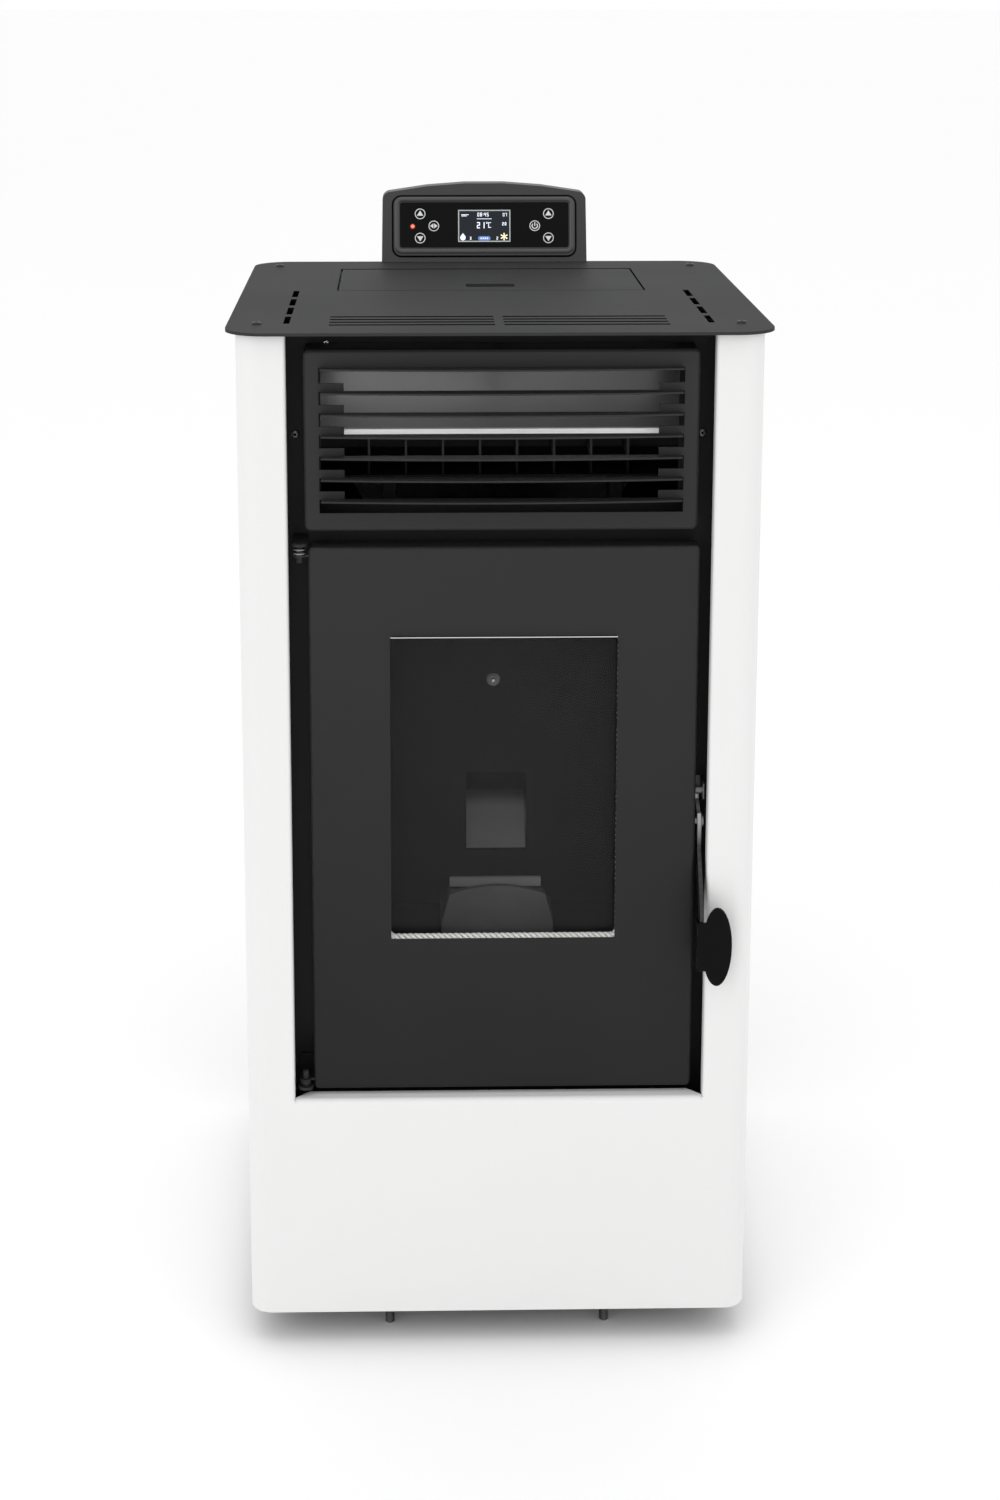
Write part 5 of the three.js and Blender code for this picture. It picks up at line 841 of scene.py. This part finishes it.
# ---------------------------------------------------------------- exhaust, air intake and igniter
# A folded smoke box and scroll, the impeller and its motor, the enamelled flue spigot and the air
# pipe, each with a rolled bead, and the igniter cartridge.
FLUE_BEAD, INTAKE_BEAD = (0.050, 0.284, 0.180), (-0.060, 0.262, 0.330)
flue_roll = [(0.0400, 0.0), (0.0409, 0.0006), (0.0412, 0.0018), (0.0409, 0.0030), (0.0400, 0.0036),
             (0.0400, 0.0)]
intake_roll = [(0.0250, 0.0), (0.0257, 0.0005), (0.0260, 0.0015), (0.0257, 0.0025), (0.0250, 0.0030),
               (0.0250, 0.0)]
for node in ("smoke_box", "exhaust_housing", "air_intake"):
    folded(node, 0.0004, galvanised)
folded("exhaust_impeller", 0.0003, plated, "impeller")
folded("exhaust_motor", 0.0010, motor_enamel)
folded("flue_spigot", 0.0005, motor_enamel)
folded("igniter", 0.0003, plated)
turned("flue_spigot_bead", flue_roll, FLUE_BEAD, (0, 1, 0), motor_enamel, "body", steps=64)
turned("air_intake_bead", intake_roll, INTAKE_BEAD, (0, 1, 0), galvanised, "body", steps=48)

# ---------------------------------------------------------------- room-air blower
# A folded housing with a drum wheel and its motor, low on the left behind the casing, where the
# slots in the rear panel let room air in.
folded("blower_housing", 0.0004, galvanised)
folded("blower_drum", 0.0003, plated, "drum")
folded("blower_motor", 0.0010, motor_enamel)

# ---------------------------------------------------------------- electrics at the back
# The control board on its posts, and a moulded black inlet with a rocker switch that is printed with
# a bar and a ring.
BAR_SIZE, BAR_DOWN, BAR_IN = (0.0052, 0.0014, 0.0008), 0.0024, 0.0006
RING_UP, RING_IN = 0.0026, 0.0004
card = coated("board_green_lacquer", (0.020, 0.085, 0.045), (0.014, 0.062, 0.034), 0.32, 700.0, 0.00005)
folded("control_board", 0.0003, card)
folded("power_inlet", 0.0005, moulded)
folded("rocker_switch", 0.0005, moulded, "rocker")
low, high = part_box("rocker_switch")
middle = (low + high) / 2
marks = bmesh.new()
block(marks, (middle.x, high.y - BAR_IN, high.z - BAR_DOWN), BAR_SIZE)
kept(marks, "rocker_switch_bar", printed, "rocker")
ring_profile = [(0.0012, 0.0), (0.0019, 0.0), (0.0019, 0.0006), (0.0012, 0.0006), (0.0012, 0.0)]
turned("rocker_switch_ring", ring_profile, (middle.x, high.y - RING_IN, low.z + RING_UP), (0, 1, 0),
       printed, "rocker")

# ---------------------------------------------------------------- floor and lights
# A plain pale floor and soft studio light: a bright surround, a large key from the upper left, a
# fill from the right and one overhead, all aimed at the stove's middle.
FLOOR_HALF = 60.0
AIM = Vector((0, 0, 0.55))
floor_mesh = bmesh.new()
bmesh.ops.create_grid(floor_mesh, x_segments=1, y_segments=1, size=FLOOR_HALF)
floor_data = bpy.data.meshes.new("floor")
floor_mesh.to_mesh(floor_data)
floor_mesh.free()
floor = bpy.data.objects.new("floor", floor_data)
bpy.context.scene.collection.objects.link(floor)
pale = Finish("pale_floor", Roughness=0.8)
pale.feed("Base Color", pale.blend(pale.noise(0.6), (0.985, 0.985, 0.985), (0.975, 0.975, 0.975)))
floor_data.materials.append(pale.material)
floor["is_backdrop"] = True

world = bpy.data.worlds.new("studio")
bpy.context.scene.world = world
world.use_nodes = True
surround = world.node_tree.nodes["Background"]
surround.inputs["Color"].default_value = (1.0, 1.0, 1.0, 1.0)
surround.inputs["Strength"].default_value = 1.0
for name, place, size, power in (("key", (-2.4, -3.2, 2.6), 2.2, 18.0),
                                 ("fill", (2.6, -2.6, 1.6), 2.4, 4.0),
                                 ("overhead", (0.0, -0.4, 3.6), 2.6, 12.0)):
    light = bpy.data.lights.new(name, "AREA")
    light.size = size
    light.energy = power
    lamp_object = bpy.data.objects.new(name, light)
    lamp_object.location = place
    lamp_object.rotation_euler = (AIM - Vector(place)).to_track_quat("-Z", "Y").to_euler()
    bpy.context.scene.collection.objects.link(lamp_object)
bpy.context.scene.view_settings.view_transform = "Standard"

low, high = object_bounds()
